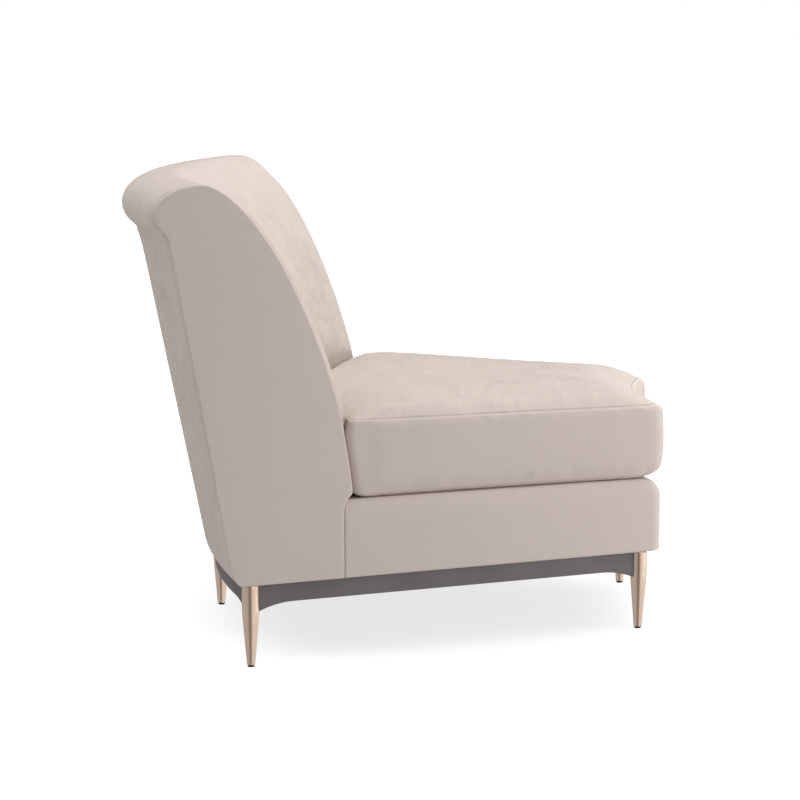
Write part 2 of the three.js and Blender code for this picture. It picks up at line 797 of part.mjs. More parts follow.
const chair = new THREE.Group();
function add(name, geometry, material) {
  const mesh = new THREE.Mesh(geometry, material);
  mesh.name = name;
  chair.add(mesh);
  return mesh;
}

for (const [place, centre] of Object.entries(legPlaces)) {
  add(`leg_${place}`, revolved(legProfile, legSides), legMetal).position.copy(centre);
  add(`glide_${place}`, revolved(glideProfile, glideSides), glidePlastic).position.copy(centre);
  add(`leg_bolt_${place}`, revolved(boltProfile, boltSides), steel).position.copy(centre);
}
for (const [name, side] of [
  ["right", -1],
  ["left", 1],
]) {
  add(`side_panel_${name}`, sidePanel(side), panelFabric);
  add(`side_frame_${name}`, sideFrame(side), plywood);
  add(`apron_${name}`, sideApron(side), apronPaint);
  const frontBlock = cornerBlock(side, frontRailRear + gap, frontRailRear + gap + blockLeg);
  const rearBlockFace = rearRailRadius - facetSag - gap;
  const rearBlock = cornerBlock(side, rearBlockFace, rearBlockFace - blockLeg);
  add(`corner_block_front_${name}`, frontBlock, hardwood);
  add(`corner_block_rear_${name}`, rearBlock, hardwood);
}
add("apron_rear_right", curvedApron(rearLegRadius, -1, 0), apronPaint);
add("apron_rear_left", curvedApron(rearLegRadius, 0, 1), apronPaint);
add("apron_front", curvedApron(frontLegRadius, -1, 1), apronPaint);
add("base_cover", baseCover(), panelFabric);
add("inside_back_pad", insideBackPad, seatFabric);
add("outside_back_cover", outsideBackCover, panelFabric);
add("front_rail", frontRail, hardwood);
add("rear_rail", rearRail, hardwood);
add("seat_rail", seatRail, hardwood);
add("lower_back_rail", crossRail(lowerRailFoot), hardwood);
add("middle_back_rail", crossRail(middleRailFoot), hardwood);
add("scroll_rail", rail(scrollSection), hardwood);
add("back_rib", radialPiece(ribOutline, 0, boardThickness), plywood);
steps(strapCount - 1).forEach((t, i) => {
  const angle = lerp(-1, 1, t) * strapSpreadShare * halfAngle;
  add(`back_webbing_${i + 1}`, radialPiece(strapOutline, angle, strapWidth), webbing);
});
steps(springCount - 1).forEach((t, i) => {
  const angle = lerp(-1, 1, t) * springSpreadShare * halfAngle;
  add(`seat_spring_${i + 1}`, seatSpring(angle), steel);
});
add("deck_pad", deckPad, felt);
add("dust_cover", dustCover, dustCloth);
add("cushion_cover", cushionCover, seatFabric);
add("cushion_foam", cushionFoam, foam);
add("cushion_zip", cushionZip, webbing);

export default chair;
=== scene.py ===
# %% [markdown]
# # An upholstered slipper chair, piece by piece
# The chair is a wedge of a ring seen from above: straight sides that point at one far axis, a wide
# curved back that rolls over at the top, and a narrow hollow front. The engineering model is loaded
# first and stays fixed. Everything soft is then made again here with its real fullness, seams and
# nap, and each new piece stands in for the plain solid that holds its space.

# %% Load the frame
import math

import bmesh
import bpy
import numpy as np
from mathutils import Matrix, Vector
from mathutils.geometry import delaunay_2d_cdt
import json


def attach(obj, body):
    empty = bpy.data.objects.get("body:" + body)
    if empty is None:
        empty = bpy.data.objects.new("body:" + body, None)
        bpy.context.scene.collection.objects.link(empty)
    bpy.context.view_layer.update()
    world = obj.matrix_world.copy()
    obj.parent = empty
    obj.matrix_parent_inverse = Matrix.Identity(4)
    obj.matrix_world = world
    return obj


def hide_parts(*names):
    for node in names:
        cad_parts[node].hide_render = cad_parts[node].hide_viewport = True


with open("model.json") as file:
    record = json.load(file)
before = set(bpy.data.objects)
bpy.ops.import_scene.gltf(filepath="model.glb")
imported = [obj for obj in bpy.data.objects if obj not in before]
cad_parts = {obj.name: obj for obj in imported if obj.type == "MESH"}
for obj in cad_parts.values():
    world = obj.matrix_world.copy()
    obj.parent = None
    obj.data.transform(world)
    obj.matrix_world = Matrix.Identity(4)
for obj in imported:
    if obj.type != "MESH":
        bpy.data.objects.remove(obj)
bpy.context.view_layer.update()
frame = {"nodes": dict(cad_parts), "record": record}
nodes = frame["nodes"]

# %% [markdown]
# ## Measuring on a ring
# A chair shaped like a slice of a ring is awkward in plain x and y. A maker would draw it with a
# long beam compass. So a place is given as a radius from the ring's axis, a share of the way from
# the middle to a side (-1 is the sitter's right, 1 the left), an inset from that side's plane and a
# height. All sizes below are millimetres, and the last step turns them into metres.

# %% Ring coordinates
MM = 0.001
half_angle = math.radians(21.6)
cushion_front, cushion_corner, rearmost = 511.0, 24.0, 1506.0
corner_radius = cushion_front + cushion_corner
corner_angle = half_angle - math.asin(cushion_corner / corner_radius)
foremost = corner_radius * math.cos(corner_angle) - cushion_corner
axis_to_centre = (rearmost + foremost) / 2


def ring_point(radius, share, inset, z):
    """Points in metres from ring coordinates in millimetres; arrays are combined."""
    radius, share, inset, z = np.broadcast_arrays(radius, share, inset, z)
    angle = share * (half_angle - np.arcsin(inset / radius))
    x = radius * np.sin(angle)
    y = radius * np.cos(angle) - axis_to_centre
    return np.stack([x, y, z], -1) * MM


print("side planes lean", round(math.degrees(half_angle), 1), "degrees from the middle")

# %% [markdown]
# ## Camera
# The photograph looks straight at the chair's right side with a long lens, a little from above. A
# fitted pinhole gives the place and the lens. The camera is tilted and not shifted, so every other
# view can reuse it.

# %% Camera
camera_data = bpy.data.cameras.new("camera")
camera_data.sensor_width = 36
camera_data.lens = 2405.76 / 800 * 36
camera = bpy.data.objects.new("camera", camera_data)
bpy.context.scene.collection.objects.link(camera)
camera.location = (-4.6489, -0.01572, 1.11927)
tilt = 0.1517
look = Vector((math.cos(tilt), 0, -math.sin(tilt)))
camera.rotation_euler = look.to_track_quat("-Z", "Y").to_euler()
camera_data.clip_end = 60
bpy.context.scene.camera = camera
print("lens", round(camera_data.lens, 1), "mm, tilt", round(math.degrees(tilt), 2), "degrees")

# %% [markdown]
# ## Light and floor
# A product picture like this one is made in a white cove: a bright ceiling, a weaker surround and a
# white floor. The surround is a world shader that is bright overhead and dark towards the horizon.
# The camera itself sees plain white, so the picture has no edge. The floor glows, more so away from
# the chair, which keeps the shadow under it as faint as in the photograph and the rest white. Five
# soft boxes do the rest. Their strengths were found by rendering the chair under each light alone
# and solving for the sum that gives the photograph's tones. Metal mirrors light cards that stand in
# front of and behind the chair, with a dark gap between them: that draws the stripes on the legs.
# Shaders and geometry trees are both wired by one helper, which adds a node and joins its inputs.

# %% Nodes
def wiring(tree):
    """Gives a function that adds nodes to a tree."""

    def put(kind, *sources, **given):
        """Sources feed the first inputs and Capital names other inputs; small names are settings."""
        node = tree.nodes.new(kind if "Node" in kind else "ShaderNode" + kind)
        for name in [name for name in given if name[0].islower()]:
            setattr(node, name, given.pop(name))
        pairs = list(zip(node.inputs, sources))
        pairs += [(node.inputs[name.replace("_", " ")], value) for name, value in given.items()]
        for socket, value in pairs:
            if isinstance(value, bpy.types.Node):
                value = value.outputs[0]
            if isinstance(value, bpy.types.NodeSocket):
                tree.links.new(value, socket)
            elif value is not None:
                socket.default_value = value
        return node

    return put


def new_material(name):
    """An empty material and the function that adds its nodes."""
    material = bpy.data.materials.new(name)
    material.use_nodes = True
    material.node_tree.nodes.clear()
    return material, wiring(material.node_tree)


def tone_ramp(put, source, stops):
    node = put("ValToRGB", source)
    elements = node.color_ramp.elements
    while len(elements) < len(stops):
        elements.new(0.5)
    for element, (position, color) in zip(elements, stops):
        element.position = position
        element.color = (*color, 1)
    return node


def grey(tone):
    return (tone, tone, tone)


print("node helpers ready")

# %% World
scene = bpy.context.scene
scene.view_settings.view_transform = "Standard"
world = bpy.data.worlds.new("white cove")
scene.world = world
world.use_nodes = True
world.node_tree.nodes.clear()
put = wiring(world.node_tree)
way = put("SeparateXYZ", put("TexCoord").outputs["Generated"]).outputs
overhead = tone_ramp(put, way["Z"], [(0.35, grey(0)), (0.9, grey(1))])
card_tones = ((0, 0.76), (0.28, 0.82), (0.42, 0.2), (0.62, 0.2), (0.76, 0.46), (0.9, 0.5), (1, 0.5))
from_front = put("MapRange", way["Y"], From_Min=-1.0)
cards = tone_ramp(put, from_front, [(at, grey(tone)) for at, tone in card_tones])
rays = put("LightPath").outputs
surround, mirrored = put("Background", overhead, 1.3), put("Background", cards)
in_metal = put("MixShader", rays["Is Glossy Ray"], surround, mirrored)
plain = put("Background", (1, 1, 1, 1))
put("OutputWorld", put("MixShader", rays["Is Camera Ray"], in_metal, plain))
print("world:", world.name, "with", len(card_tones), "tones for its light cards")

# %% Lamps
soft_boxes = (  # name, place, target, size, power
    ("ceiling_box", (-0.3, -0.6, 3.4), (0, 0, 0.4), (3.2, 3.2), 19.2),
    ("front_box", (-0.4, -3.2, 0.35), (0, -0.4, 0.35), (1.4, 0.6), 41.5),
    ("near_corner_box", (-1.5, -2.1, 0.8), (-0.2, -0.4, 0.35), (0.8, 0.8), 7.4),
    ("far_top_box", (2.6, -1.2, 2.8), (0, 0, 0.5), (2.2, 2.2), 18.8),
    ("rear_top_box", (-0.8, 2.8, 2.6), (0, 0.3, 0.6), (2.0, 2.0), 15.2),
)
for name, place, target, size, power in soft_boxes:
    light = bpy.data.lights.new(name, "AREA")
    light.shape = "RECTANGLE"
    light.size, light.size_y = size
    light.energy = power
    lamp = bpy.data.objects.new(name, light)
    lamp.location = place
    lamp.rotation_euler = (Vector(target) - Vector(place)).to_track_quat("-Z", "Y").to_euler()
    lamp.visible_camera = False
    scene.collection.objects.link(lamp)
print("lamps:", len(soft_boxes))

# %% Floor
painted_shadow_centre = (0, -0.06, 0)
cove, put = new_material("glowing_floor_with_painted_shadow")
# The floor glows for the camera: dimmer within about 0.3 to 0.75 m of the chair as a painted shadow,
# brighter further out.
reach = put("VectorMath", put("TexCoord").outputs["Object"], painted_shadow_centre, operation="DISTANCE")
rise = put("MapRange", reach.outputs["Value"], 0.3, 0.75, 0.77, 1.04, interpolation_type="SMOOTHSTEP")
rays = put("LightPath").outputs
glow = put("Emission", Strength=put("Mix", rays["Is Camera Ray"], None, 0.386, rise))
lit = put("AddShader", glow, put("BsdfDiffuse", (*grey(0.29), 1)))
put("OutputMaterial", put("MixShader", rays["Is Glossy Ray"], lit, put("BsdfTransparent")))

half_side = 30
corners = [(x * half_side, y * half_side, 0) for x, y in ((-1, -1), (1, -1), (1, 1), (-1, 1))]
mesh = bpy.data.meshes.new("floor")
mesh.from_pydata(corners, [], [(0, 1, 2, 3)])
mesh.materials.append(cove)
floor = bpy.data.objects.new("floor", mesh)
scene.collection.objects.link(floor)
print("floor:", 2 * half_side, "m square")

# %% [markdown]
# ## Cloth finishes
# The chair wears one light beige pile cloth. On the seat, the back and the roll the pile has been
# swept by hand and shows soft cloudy marks. On the sides it lies one way and looks smooth. A pile
# cloth needs three things: a slow change of tone where the nap turns, a fine tooth, and a sheen
# that lightens faces seen at a grazing angle. The tone reads Object coordinates, so it runs on
# from piece to piece as if cut from one bolt; the tooth reads each piece's own UV map in metres.
# Wood, metal, thread and plastic are simpler: one function makes each from a list of patterns.

# %% Cloth finish
def shade(color, factor):
    return tuple(c * factor for c in color)


def pile_cloth(name, color, marks, tooth):
    """Pile cloth: marks is how strongly the swept nap shows, tooth the depth of the weave in metres."""
    material, put = new_material(name)
    where = put("TexCoord").outputs
    swept = put("Mapping", where["Object"], Scale=(0.7, 2.6, 1.6), Rotation=(0.3, 0.5, 0.4))
    noise = {"Detail": 5.0, "Roughness": 0.6}
    clouds = put("TexNoise", where["Object"], Scale=7.0, Distortion=0.9, **noise)
    strokes = put("TexNoise", swept, Scale=13.0, Distortion=1.6, **noise)
    halves = [put("Math", pattern, 0.5, operation="MULTIPLY") for pattern in (clouds, strokes)]
    nap = put("Math", *halves, operation="ADD")
    tones = [(0.36, shade(color, 1 - marks)), (0.5, color), (0.66, shade(color, 1 + 0.7 * marks))]
    # Painted light and shade: a vertex attribute mixes the tone towards 1.22 times the cloth's colour,
    # and below zero darker.
    painted_light_and_shade = put("Attribute", attribute_name="painted_light_and_shade").outputs["Fac"]
    ends = (tone_ramp(put, nap, tones), (*shade(color, 1.22), 1))
    with_painted_light_and_shade = put("Mix", painted_light_and_shade, *[None] * 5, *ends, data_type="RGBA", clamp_factor=False)
    warp, weft = [
        put("TexWave", where["UV"], Scale=scale, Distortion=1.5, Detail=1.0, bands_direction=axis)
        for scale, axis in ((260.0, "X"), (230.0, "Y"))
    ]
    weave = put("Math", warp.outputs["Fac"], weft.outputs["Fac"], operation="ADD")
    fibre = put("TexNoise", where["Object"], Scale=1400.0, Detail=2.0)
    height = put("Math", put("Math", weave, 0.35, operation="MULTIPLY"), fibre, operation="ADD")
    looks = {"Roughness": 0.85, "Specular_IOR_Level": 0.2}
    looks.update(Sheen_Weight=0.22, Sheen_Roughness=0.45, Sheen_Tint=(1.0, 0.95, 0.9, 1))
    bump = put("Bump", Height=height, Strength=0.5, Distance=tooth)
    shader = put("BsdfPrincipled", Base_Color=with_painted_light_and_shade.outputs[2], Normal=bump, **looks)
    put("OutputMaterial", shader)
    return material


def finish(name, tones, *patterns, bump=None, **looks):
    """A hard or thin finish. Each pattern says its texture, its share of the tone, its stretch and
    the texture's inputs. The last one also draws the relief, for a bump of (strength, metres)."""
    material, put = new_material(name)
    where = put("TexCoord").outputs["Object"]
    tone = None
    for texture, share, stretch, inputs in patterns:
        vector = put("Mapping", where, Scale=stretch) if stretch else where
        pattern = put("Tex" + texture, vector, **inputs)
        drawn = pattern.outputs["Fac" if texture == "Wave" else 0]
        if share:
            part = drawn if share == 1 else put("Math", drawn, share, operation="MULTIPLY")
            tone = part if tone is None else put("Math", tone, part, operation="ADD")
    looks["Base_Color"] = tone_ramp(put, tone, tones)
    if bump:
        looks["Normal"] = put("Bump", Height=drawn, Strength=bump[0], Distance=bump[1])
    put("OutputMaterial", put("BsdfPrincipled", **looks))
    return material


beige = (0.67, 0.585, 0.533)
swept_cloth = pile_cloth("swept_pile_cloth", beige, 0.09, 0.0004)
smooth_cloth = pile_cloth("smooth_pile_cloth", shade(beige, 0.93), 0.018, 0.0003)
lining = pile_cloth("deck_lining_cloth", shade(beige, 0.8), 0.01, 0.0002)
print("cloth finishes:", swept_cloth.name, smooth_cloth.name, lining.name)

# %% [markdown]
# ## Building surfaces
# Most pieces here are a section carried along a path, so one helper turns rows of points into a
# closed skin. Flat upholstered faces need a different mesh: fine near the edge, where the padding
# turns over, and coarse in the middle. A constrained Delaunay triangulation gives that from rings
# that follow the outline and a loose grid inside.

# %% Mesh helpers
def mesh_object(name, points, faces, materials, uv=None):
    """A closed piece with its faces turned outwards, smooth but for its sharp edges."""
    mesh = bpy.data.meshes.new(name)
    mesh.from_pydata([tuple(p) for p in points], [], [tuple(int(i) for i in f) for f in faces])
    for material in materials:
        mesh.materials.append(material)
    if uv is not None:
        layer = mesh.uv_layers.new(name="cloth")
        loops = np.empty(len(mesh.loops), int)
        mesh.loops.foreach_get("vertex_index", loops)
        layer.data.foreach_set("uv", np.asarray(uv, float)[loops].astype(np.float32).ravel())
    mesh.shade_smooth()
    mesh.set_sharp_from_angle(angle=math.radians(62))
    work = bmesh.new()
    work.from_mesh(mesh)
    bmesh.ops.recalc_face_normals(work, faces=work.faces)
    if work.calc_volume(signed=True) < 0:
        bmesh.ops.reverse_faces(work, faces=work.faces)
    work.to_mesh(mesh)
    work.free()
    obj = bpy.data.objects.new(name, mesh)
    scene.collection.objects.link(obj)
    return obj


def paint_light_and_shade(obj, weights):
    """Marks each vertex with painted light: how much lighter it is drawn, or below zero darker as
    painted shade.
    """
    mark = obj.data.attributes.new("painted_light_and_shade", "FLOAT", "POINT")
    full = np.zeros(len(obj.data.vertices), np.float32)
    full[: len(weights)] = weights
    mark.data.foreach_set("value", full)


def strip_faces(rows, columns, close_columns=True, start=0):
    """Quads between rows of a grid of points; the columns may close into a ring."""
    faces = []
    for i in range(rows - 1):
        for j in range(columns if close_columns else columns - 1):
            a, b = start + i * columns + j, start + i * columns + (j + 1) % columns
            faces.append((a, b, b + columns, a + columns))
    return faces


def shifted(faces, by):
    """Faces whose points stand further on in a piece's list."""
    return [tuple(i + by for i in face) for face in faces]


def resample(line, spacing):
    """Even steps along a line, at least eight."""
    at = np.concatenate([[0], np.cumsum(np.hypot(*np.diff(line, axis=0).T))])
    wanted = np.linspace(0, at[-1], max(int(round(at[-1] / spacing)), 8) + 1)
    return np.stack([np.interp(wanted, at, line[:, 0]), np.interp(wanted, at, line[:, 1])], -1)


def distance_to(outline, points):
    """How far flat points lie from a closed outline."""
    d = np.roll(outline, -1, axis=0) - outline
    best, batch = [], 400
    for start in range(0, len(points), batch):
        p = points[start : start + batch, None]
        t = np.clip(((p - outline) * d).sum(-1) / np.maximum((d * d).sum(-1), 1e-12), 0, 1)
        best.append(np.hypot(*np.moveaxis(p - (outline + t[..., None] * d), -1, 0)).min(1))
    return np.concatenate(best)


def inside(outline, points):
    """Which flat points lie inside a closed outline."""
    hits = np.zeros(len(points), int)
    for (x1, y1), (x2, y2) in zip(outline, np.roll(outline, -1, axis=0)):
        crosses = (y1 > points[:, 1]) != (y2 > points[:, 1])
        edge = x1 + (points[:, 1] - y1) * (x2 - x1) / (y2 - y1 if y2 != y1 else 1e-12)
        hits += crosses & (points[:, 0] < edge)
    return hits % 2 == 1


def padded_face(outline, rings, spacing):
    """Triangles over a flat outline: its own points first, rings inside it, then a loose grid."""
    ahead, behind = np.roll(outline, -1, axis=0), np.roll(outline, 1, axis=0)
    along = ahead - behind
    normal = np.stack([-along[:, 1], along[:, 0]], -1)
    normal /= np.linalg.norm(normal, axis=1)[:, None]
    way_round = int(np.sign((outline[:, 0] * ahead[:, 1] - ahead[:, 0] * outline[:, 1]).sum()))
    layers = [outline]
    for depth in rings:
        ring = outline + normal * way_round * depth
        keep = inside(outline, ring) & (distance_to(outline, ring) > depth * 0.985)
        step = max(1, int(round(min(depth, spacing * 0.8) / np.linalg.norm(along, axis=1).mean())))
        keep[np.arange(len(ring)) % step != 0] = False
        layers.append(ring[keep])
    low, high = outline.min(0), outline.max(0)
    rows = []
    for i, y in enumerate(np.arange(low[1], high[1], spacing * 0.866)):
        x = np.arange(low[0] + (i % 2) * spacing / 2, high[0], spacing)
        rows.append(np.column_stack([x, np.full(len(x), y)]))
    grid = np.vstack(rows)
    grid = grid[inside(outline, grid)]
    layers.append(grid[distance_to(outline, grid) > rings[-1] + spacing * 0.6])
    points = np.vstack(layers)
    border = list(range(len(outline)))[::way_round]
    result = delaunay_2d_cdt([Vector(p) for p in points], [], [border], 1, 1e-7)
    if [ids[0] for ids in result[3]] != list(range(len(points))):
        raise ValueError("the face's points changed places or number")
    flat = np.array([tuple(p) for p in result[0]])
    return flat, [tuple(f) for f in result[2]], distance_to(outline, flat)


print("mesh helpers ready")

# %% [markdown]
# ## The lines of the back
# One profile rules the back: it climbs from a lip just above the seat, leans back over the crest,
# rolls round like the end of a scroll and tucks in at a notch, from where a straight line slopes
# down to the foot. The side panels show the whole profile, and the padding follows it.

# %% Profile of the back
def bezier(points, count):
    t = np.linspace(0, 1, count)[:, None]
    points = [np.array(p, float) for p in points]
    while len(points) > 1:
        points = [a * (1 - t) + b * t for a, b in zip(points, points[1:])]
    return points[0]


def smoothstep(value, start, length):
    t = np.clip((value - start) / length, 0, 1)
    return t * t * (3 - 2 * t)


def rounded(distance, reach):
    """The height of a quarter round, from 0 at its edge to 1 where it runs level."""
    return np.sqrt(1 - (1 - np.clip(distance / reach, 0, 1)) ** 2)


def arc(centre, radii, start, end, count):
    angle = np.radians(np.linspace(start, end, count))
    return np.stack([centre[0] + radii[0] * np.cos(angle), centre[1] + radii[1] * np.sin(angle)], -1)


foot = 149.6
deck = 291.6
seam_radius = 1158.0  # where the side panels end and the seat begins
lip = (1142.0, 302.6)
shoulder_points = [(seam_radius, deck - 20), (seam_radius, deck), lip]
crest = (1417.0, 859.6)
roll_rear = 1501.0
roll_height = 807.6
lean = math.tan(math.radians(10.4))


def rear_radius(z):
    return 1364 + (np.asarray(z) - foot) * lean


def foot_radius(z):
    return rear_radius(z) - 10 * np.maximum(0, 1 - (np.asarray(z) - foot) / 24) ** 2


front_line = bezier([lip, (1154, 500.6), (1310, crest[1]), crest], 120)
padding = smoothstep(front_line[:, 1], 380, 90) * (1 - smoothstep(front_line[:, 1], 710, 140))
front_line[:, 0] -= 4.5 * padding
roll_line = arc((crest[0], roll_height), (84, 52), 90, 0, 40)
under_line = arc((roll_rear - 31, roll_height), (31, 31), 0, -72.5, 24)
back_line = np.vstack([front_line, roll_line[1:], under_line[1:]])
notch = back_line[-1]


def front_radius(z):
    """The radius of the back's front line at a height."""
    return np.interp(z, front_line[:, 1], front_line[:, 0])


print("crest", crest, "notch", notch.round(1).tolist())

# %% [markdown]
# ## Side panels
# Each side of the back is one flat panel, padded with thin foam and pulled over the plywood side,
# with a soft turned edge all round. It could be an extruded outline with a bevel, but a bevel can't
# give the slight swell of the padding. So the face is triangulated and each point is set back by a
# rule of its distance from the edge.

# %% Side panels
shoulder = bezier(shoulder_points, 12)
notch_round = bezier([under_line[-9], notch, (rear_radius(notch[1] - 13), notch[1] - 13)], 10)
tuck_heights = np.linspace(foot + 24, foot, 12)
tuck = np.stack([foot_radius(tuck_heights), tuck_heights], -1)
front_foot = [(seam_radius, foot)]
panel_line = np.vstack(
    [front_foot, shoulder[:-1], back_line[:-9], notch_round[1:], tuck, front_foot]
)
panel_outline = resample(panel_line, 4.0)[:-1]
panel_rings = [0.25, 0.6, 1.1, 1.8, 2.8, 4.5, 7.5, 12, 19, 28]
panel_flat, panel_triangles, panel_depth = padded_face(panel_outline, panel_rings, 16)


def turned_edge(depth, radius, swell, reach):
    """How far a padded face lies behind its flat plane at a distance from its edge."""
    turn = radius * (1 - rounded(depth, radius))
    return turn - swell * (1 - np.exp(-np.maximum(depth - radius * 0.4, 0) / reach))


def side_panel(name, side):
    inset = turned_edge(panel_depth, 1.8, 1.6, 45) + 1.0
    outer = ring_point(panel_flat[:, 0], side, inset, panel_flat[:, 1])
    inner = ring_point(panel_flat[:, 0], side, 12.0, panel_flat[:, 1])
    count, edge = len(panel_flat), len(panel_outline)
    faces = panel_triangles + shifted([f[::-1] for f in panel_triangles], count)
    faces += [(j, (j + 1) % edge, (j + 1) % edge + count, j + count) for j in range(edge)]
    uv = np.vstack([panel_flat, panel_flat]) * MM
    obj = mesh_object(name, np.vstack([outer, inner]), faces, [smooth_cloth], uv)
    # A painted highlight: a thin lighter line along the panel's turned edge, below the crest.
    edge_painted_highlight = np.exp(-((panel_depth - 1.0) / 1.4) ** 2) * (panel_flat[:, 1] > foot + 12)
    paint_light_and_shade(obj, 0.8 * edge_painted_highlight * (panel_flat[:, 0] < crest[0] - 20))
    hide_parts(name.replace("_cover", ""))
    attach(obj, "chair")
    return obj


panels = [side_panel("side_panel_right_cover", -1), side_panel("side_panel_left_cover", 1)]
print("panel triangles:", len(panels[0].data.polygons))

# %% [markdown]
# ## Inside back and roll
# The inside back is one pad that climbs from the seat, leans back and rolls over the top. Its shape
# follows a rule: the profile above is swept round the ring. Between the side panels it is a little
# fuller, and at each panel its edge turns down into the seam. So the mesh is a grid of profile
# points by places across the back, with both skins and both ends closed. Its colour has painted light
# and shade: lighter higher up and over the roll, darker down by the seat.

# %% Inside back and roll
def normals_of(line):
    """Unit normals of an open line, to the left of its way."""
    along = np.gradient(line, axis=0)
    normal = np.stack([-along[:, 1], along[:, 0]], -1)
    return normal / np.linalg.norm(normal, axis=1)[:, None]


def swept(name, section_at):
    """A closed piece through the sections (radius, z) that belong to shares of the back's width."""
    sections = [section_at(share) for share in pad_shares]
    rows, columns = len(sections), len(sections[0])
    points = [
        ring_point(section[:, 0], share, pad_inset, section[:, 1])
        for section, share in zip(sections, pad_shares)
    ]
    faces = strip_faces(rows, columns)
    end = [(i, i + 1, columns - 2 - i, columns - 1 - i) for i in range(columns // 2 - 1)]
    faces += end + shifted([quad[::-1] for quad in end], (rows - 1) * columns)
    line = sections[rows // 2]
    along = np.concatenate([[0], np.cumsum(np.hypot(*np.diff(line, axis=0).T))])
    uv = [
        np.stack([np.full(columns, share * half_angle * section[:, 0].mean()), along], -1)
        for section, share in zip(sections, pad_shares)
    ]
    return mesh_object(name, np.vstack(points), faces, [swept_cloth], np.vstack(uv) * MM)


pad_inset, crown_reach = 12.3, 22
pad_line = resample(np.vstack([back_line[:-9], notch_round[:6]]), 8.0)
pad_outward = normals_of(pad_line)
past_crest = np.arange(len(pad_line)) > pad_line[:, 1].argmax()


def front_crown(z):
    """Crown of the inside back: none behind the cushion, full above it, less at the crest."""
    return smoothstep(z, deck + 112, 30) * (13.0 - 11.5 * smoothstep(z, crest[1] - 80, 80))


round_the_roll = 1.5 + 3 * smoothstep(pad_line[:, 0], crest[0], 84)
pad_crown = np.where(past_crest, np.maximum(round_the_roll, 4.5 * (pad_line[:, 1] < roll_height)),
                     front_crown(pad_line[:, 1]))
pad_depth = np.interp(np.linspace(0, 1, len(pad_line)), [0, 0.62, 1], [45, 20, 20])
pad_shares = np.sin(np.linspace(-1, 1, 81) * math.pi / 2 * 0.9) / math.sin(math.pi / 2 * 0.9)


def fullness(share):
    """How far the crown has risen at a share of the width: it swells from the seams in a round."""
    return rounded((1 - abs(share)) * half_angle * crest[0], crown_reach)


def pad_section(share):
    edge = (1 - abs(share)) * half_angle * pad_line[:, 0]
    tuck = 1.2 * np.exp(-edge / 2)
    outer = pad_line + pad_outward * (pad_crown * fullness(share) - tuck)[:, None]
    inner = pad_line - pad_outward * pad_depth[:, None]
    return np.vstack([outer, inner[::-1]])


inside_back = swept("inside_back_cover", pad_section)
# Painted light and shade: the pad is drawn lighter higher up and over the roll, darker down by the
# seat.
lighter_higher_up = smoothstep(pad_line[:, 1], 430, 400)
painted_light_over_the_roll = 0.25 * (1 - smoothstep(pad_line[:, 0], crest[0] + 10, 70))
back_painted_light_and_shade = np.where(past_crest, painted_light_over_the_roll, 0.67 * lighter_higher_up - 0.42)
paint_light_and_shade(inside_back, np.tile(np.concatenate([back_painted_light_and_shade, back_painted_light_and_shade[::-1]]), len(pad_shares)))
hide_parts("inside_back_pad")
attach(inside_back, "chair")
print("inside back:", len(inside_back.data.polygons), "faces")

# %% [markdown]
# ## Outside back
# One curved cloth closes the back from under the roll down to the legs. It is drawn tight over thin
# padding, so it is a straight lean in profile and a plain arc in plan. Its sides turn into the
# crease beside the side panels and its foot turns under.

# %% Outside back
def outside_section(share):
    drop = 4.5 * fullness(share) * pad_outward[-1]
    top = pad_line[-1][1] + drop[1] - 0.1
    fine = top - np.array([0, 0.7, 1.5, 2.5, 4, 6, 8, 11, 14, 18, 24])
    coarse = np.linspace(top - 32, foot + 26, 40)
    z = np.concatenate([fine, coarse, np.linspace(foot + 24, foot + 0.4, 14)])
    edge = (1 - abs(share)) * half_angle * 1400
    tuck = 1.2 * math.exp(-edge / 2) + 1.4 * math.exp(-edge / 3) * smoothstep(top - z, 20, 30)
    turn = 5 * np.maximum(0, 1 - (z - foot) / 7) ** 2
    hollow = 8.5 * (1 - (z - foot) / (top - foot)) * (1 - abs(share) ** 4)
    cove_line = np.interp(z - drop[1], notch_round[::-1, 1], notch_round[::-1, 0])
    cove = np.maximum(cove_line - rear_radius(z - drop[1]), 0) * (z > notch[1] - 20)
    cove = cove + drop[0] * np.exp(-(top - z) / 25)
    behind = 0.2 + smoothstep(top - z, 10, 40)
    outer = np.stack([foot_radius(z) + cove - hollow - behind - tuck - turn, z], -1)
    inner = np.stack([foot_radius(z) - hollow - 10, z], -1)
    return np.vstack([outer, inner[::-1]])


outside_back = swept("outside_back_cloth", outside_section)
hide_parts("outside_back_cover")
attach(outside_back, "chair")
print("outside back:", len(outside_back.data.polygons), "faces")

# %% [markdown]
# ## Plan of the seat
# Seat base and cushion share one plan: a wedge with a hollow front, rounded front corners and sides
# drawn in a little between their ends. The helper gives it as even steps that match from layer to
# layer, so layers can be joined by quads. The base takes the fine count. The cushion takes a
# coarser one, because its cloth is simulated first and subdivided afterwards.

# %% Plan of the seat
fine_plan = (38, 9, 120, 6, 86)
coarse_plan = (20, 6, 62, 5, 44)
base_front, base_rear = 516.0, seam_radius - 0.4


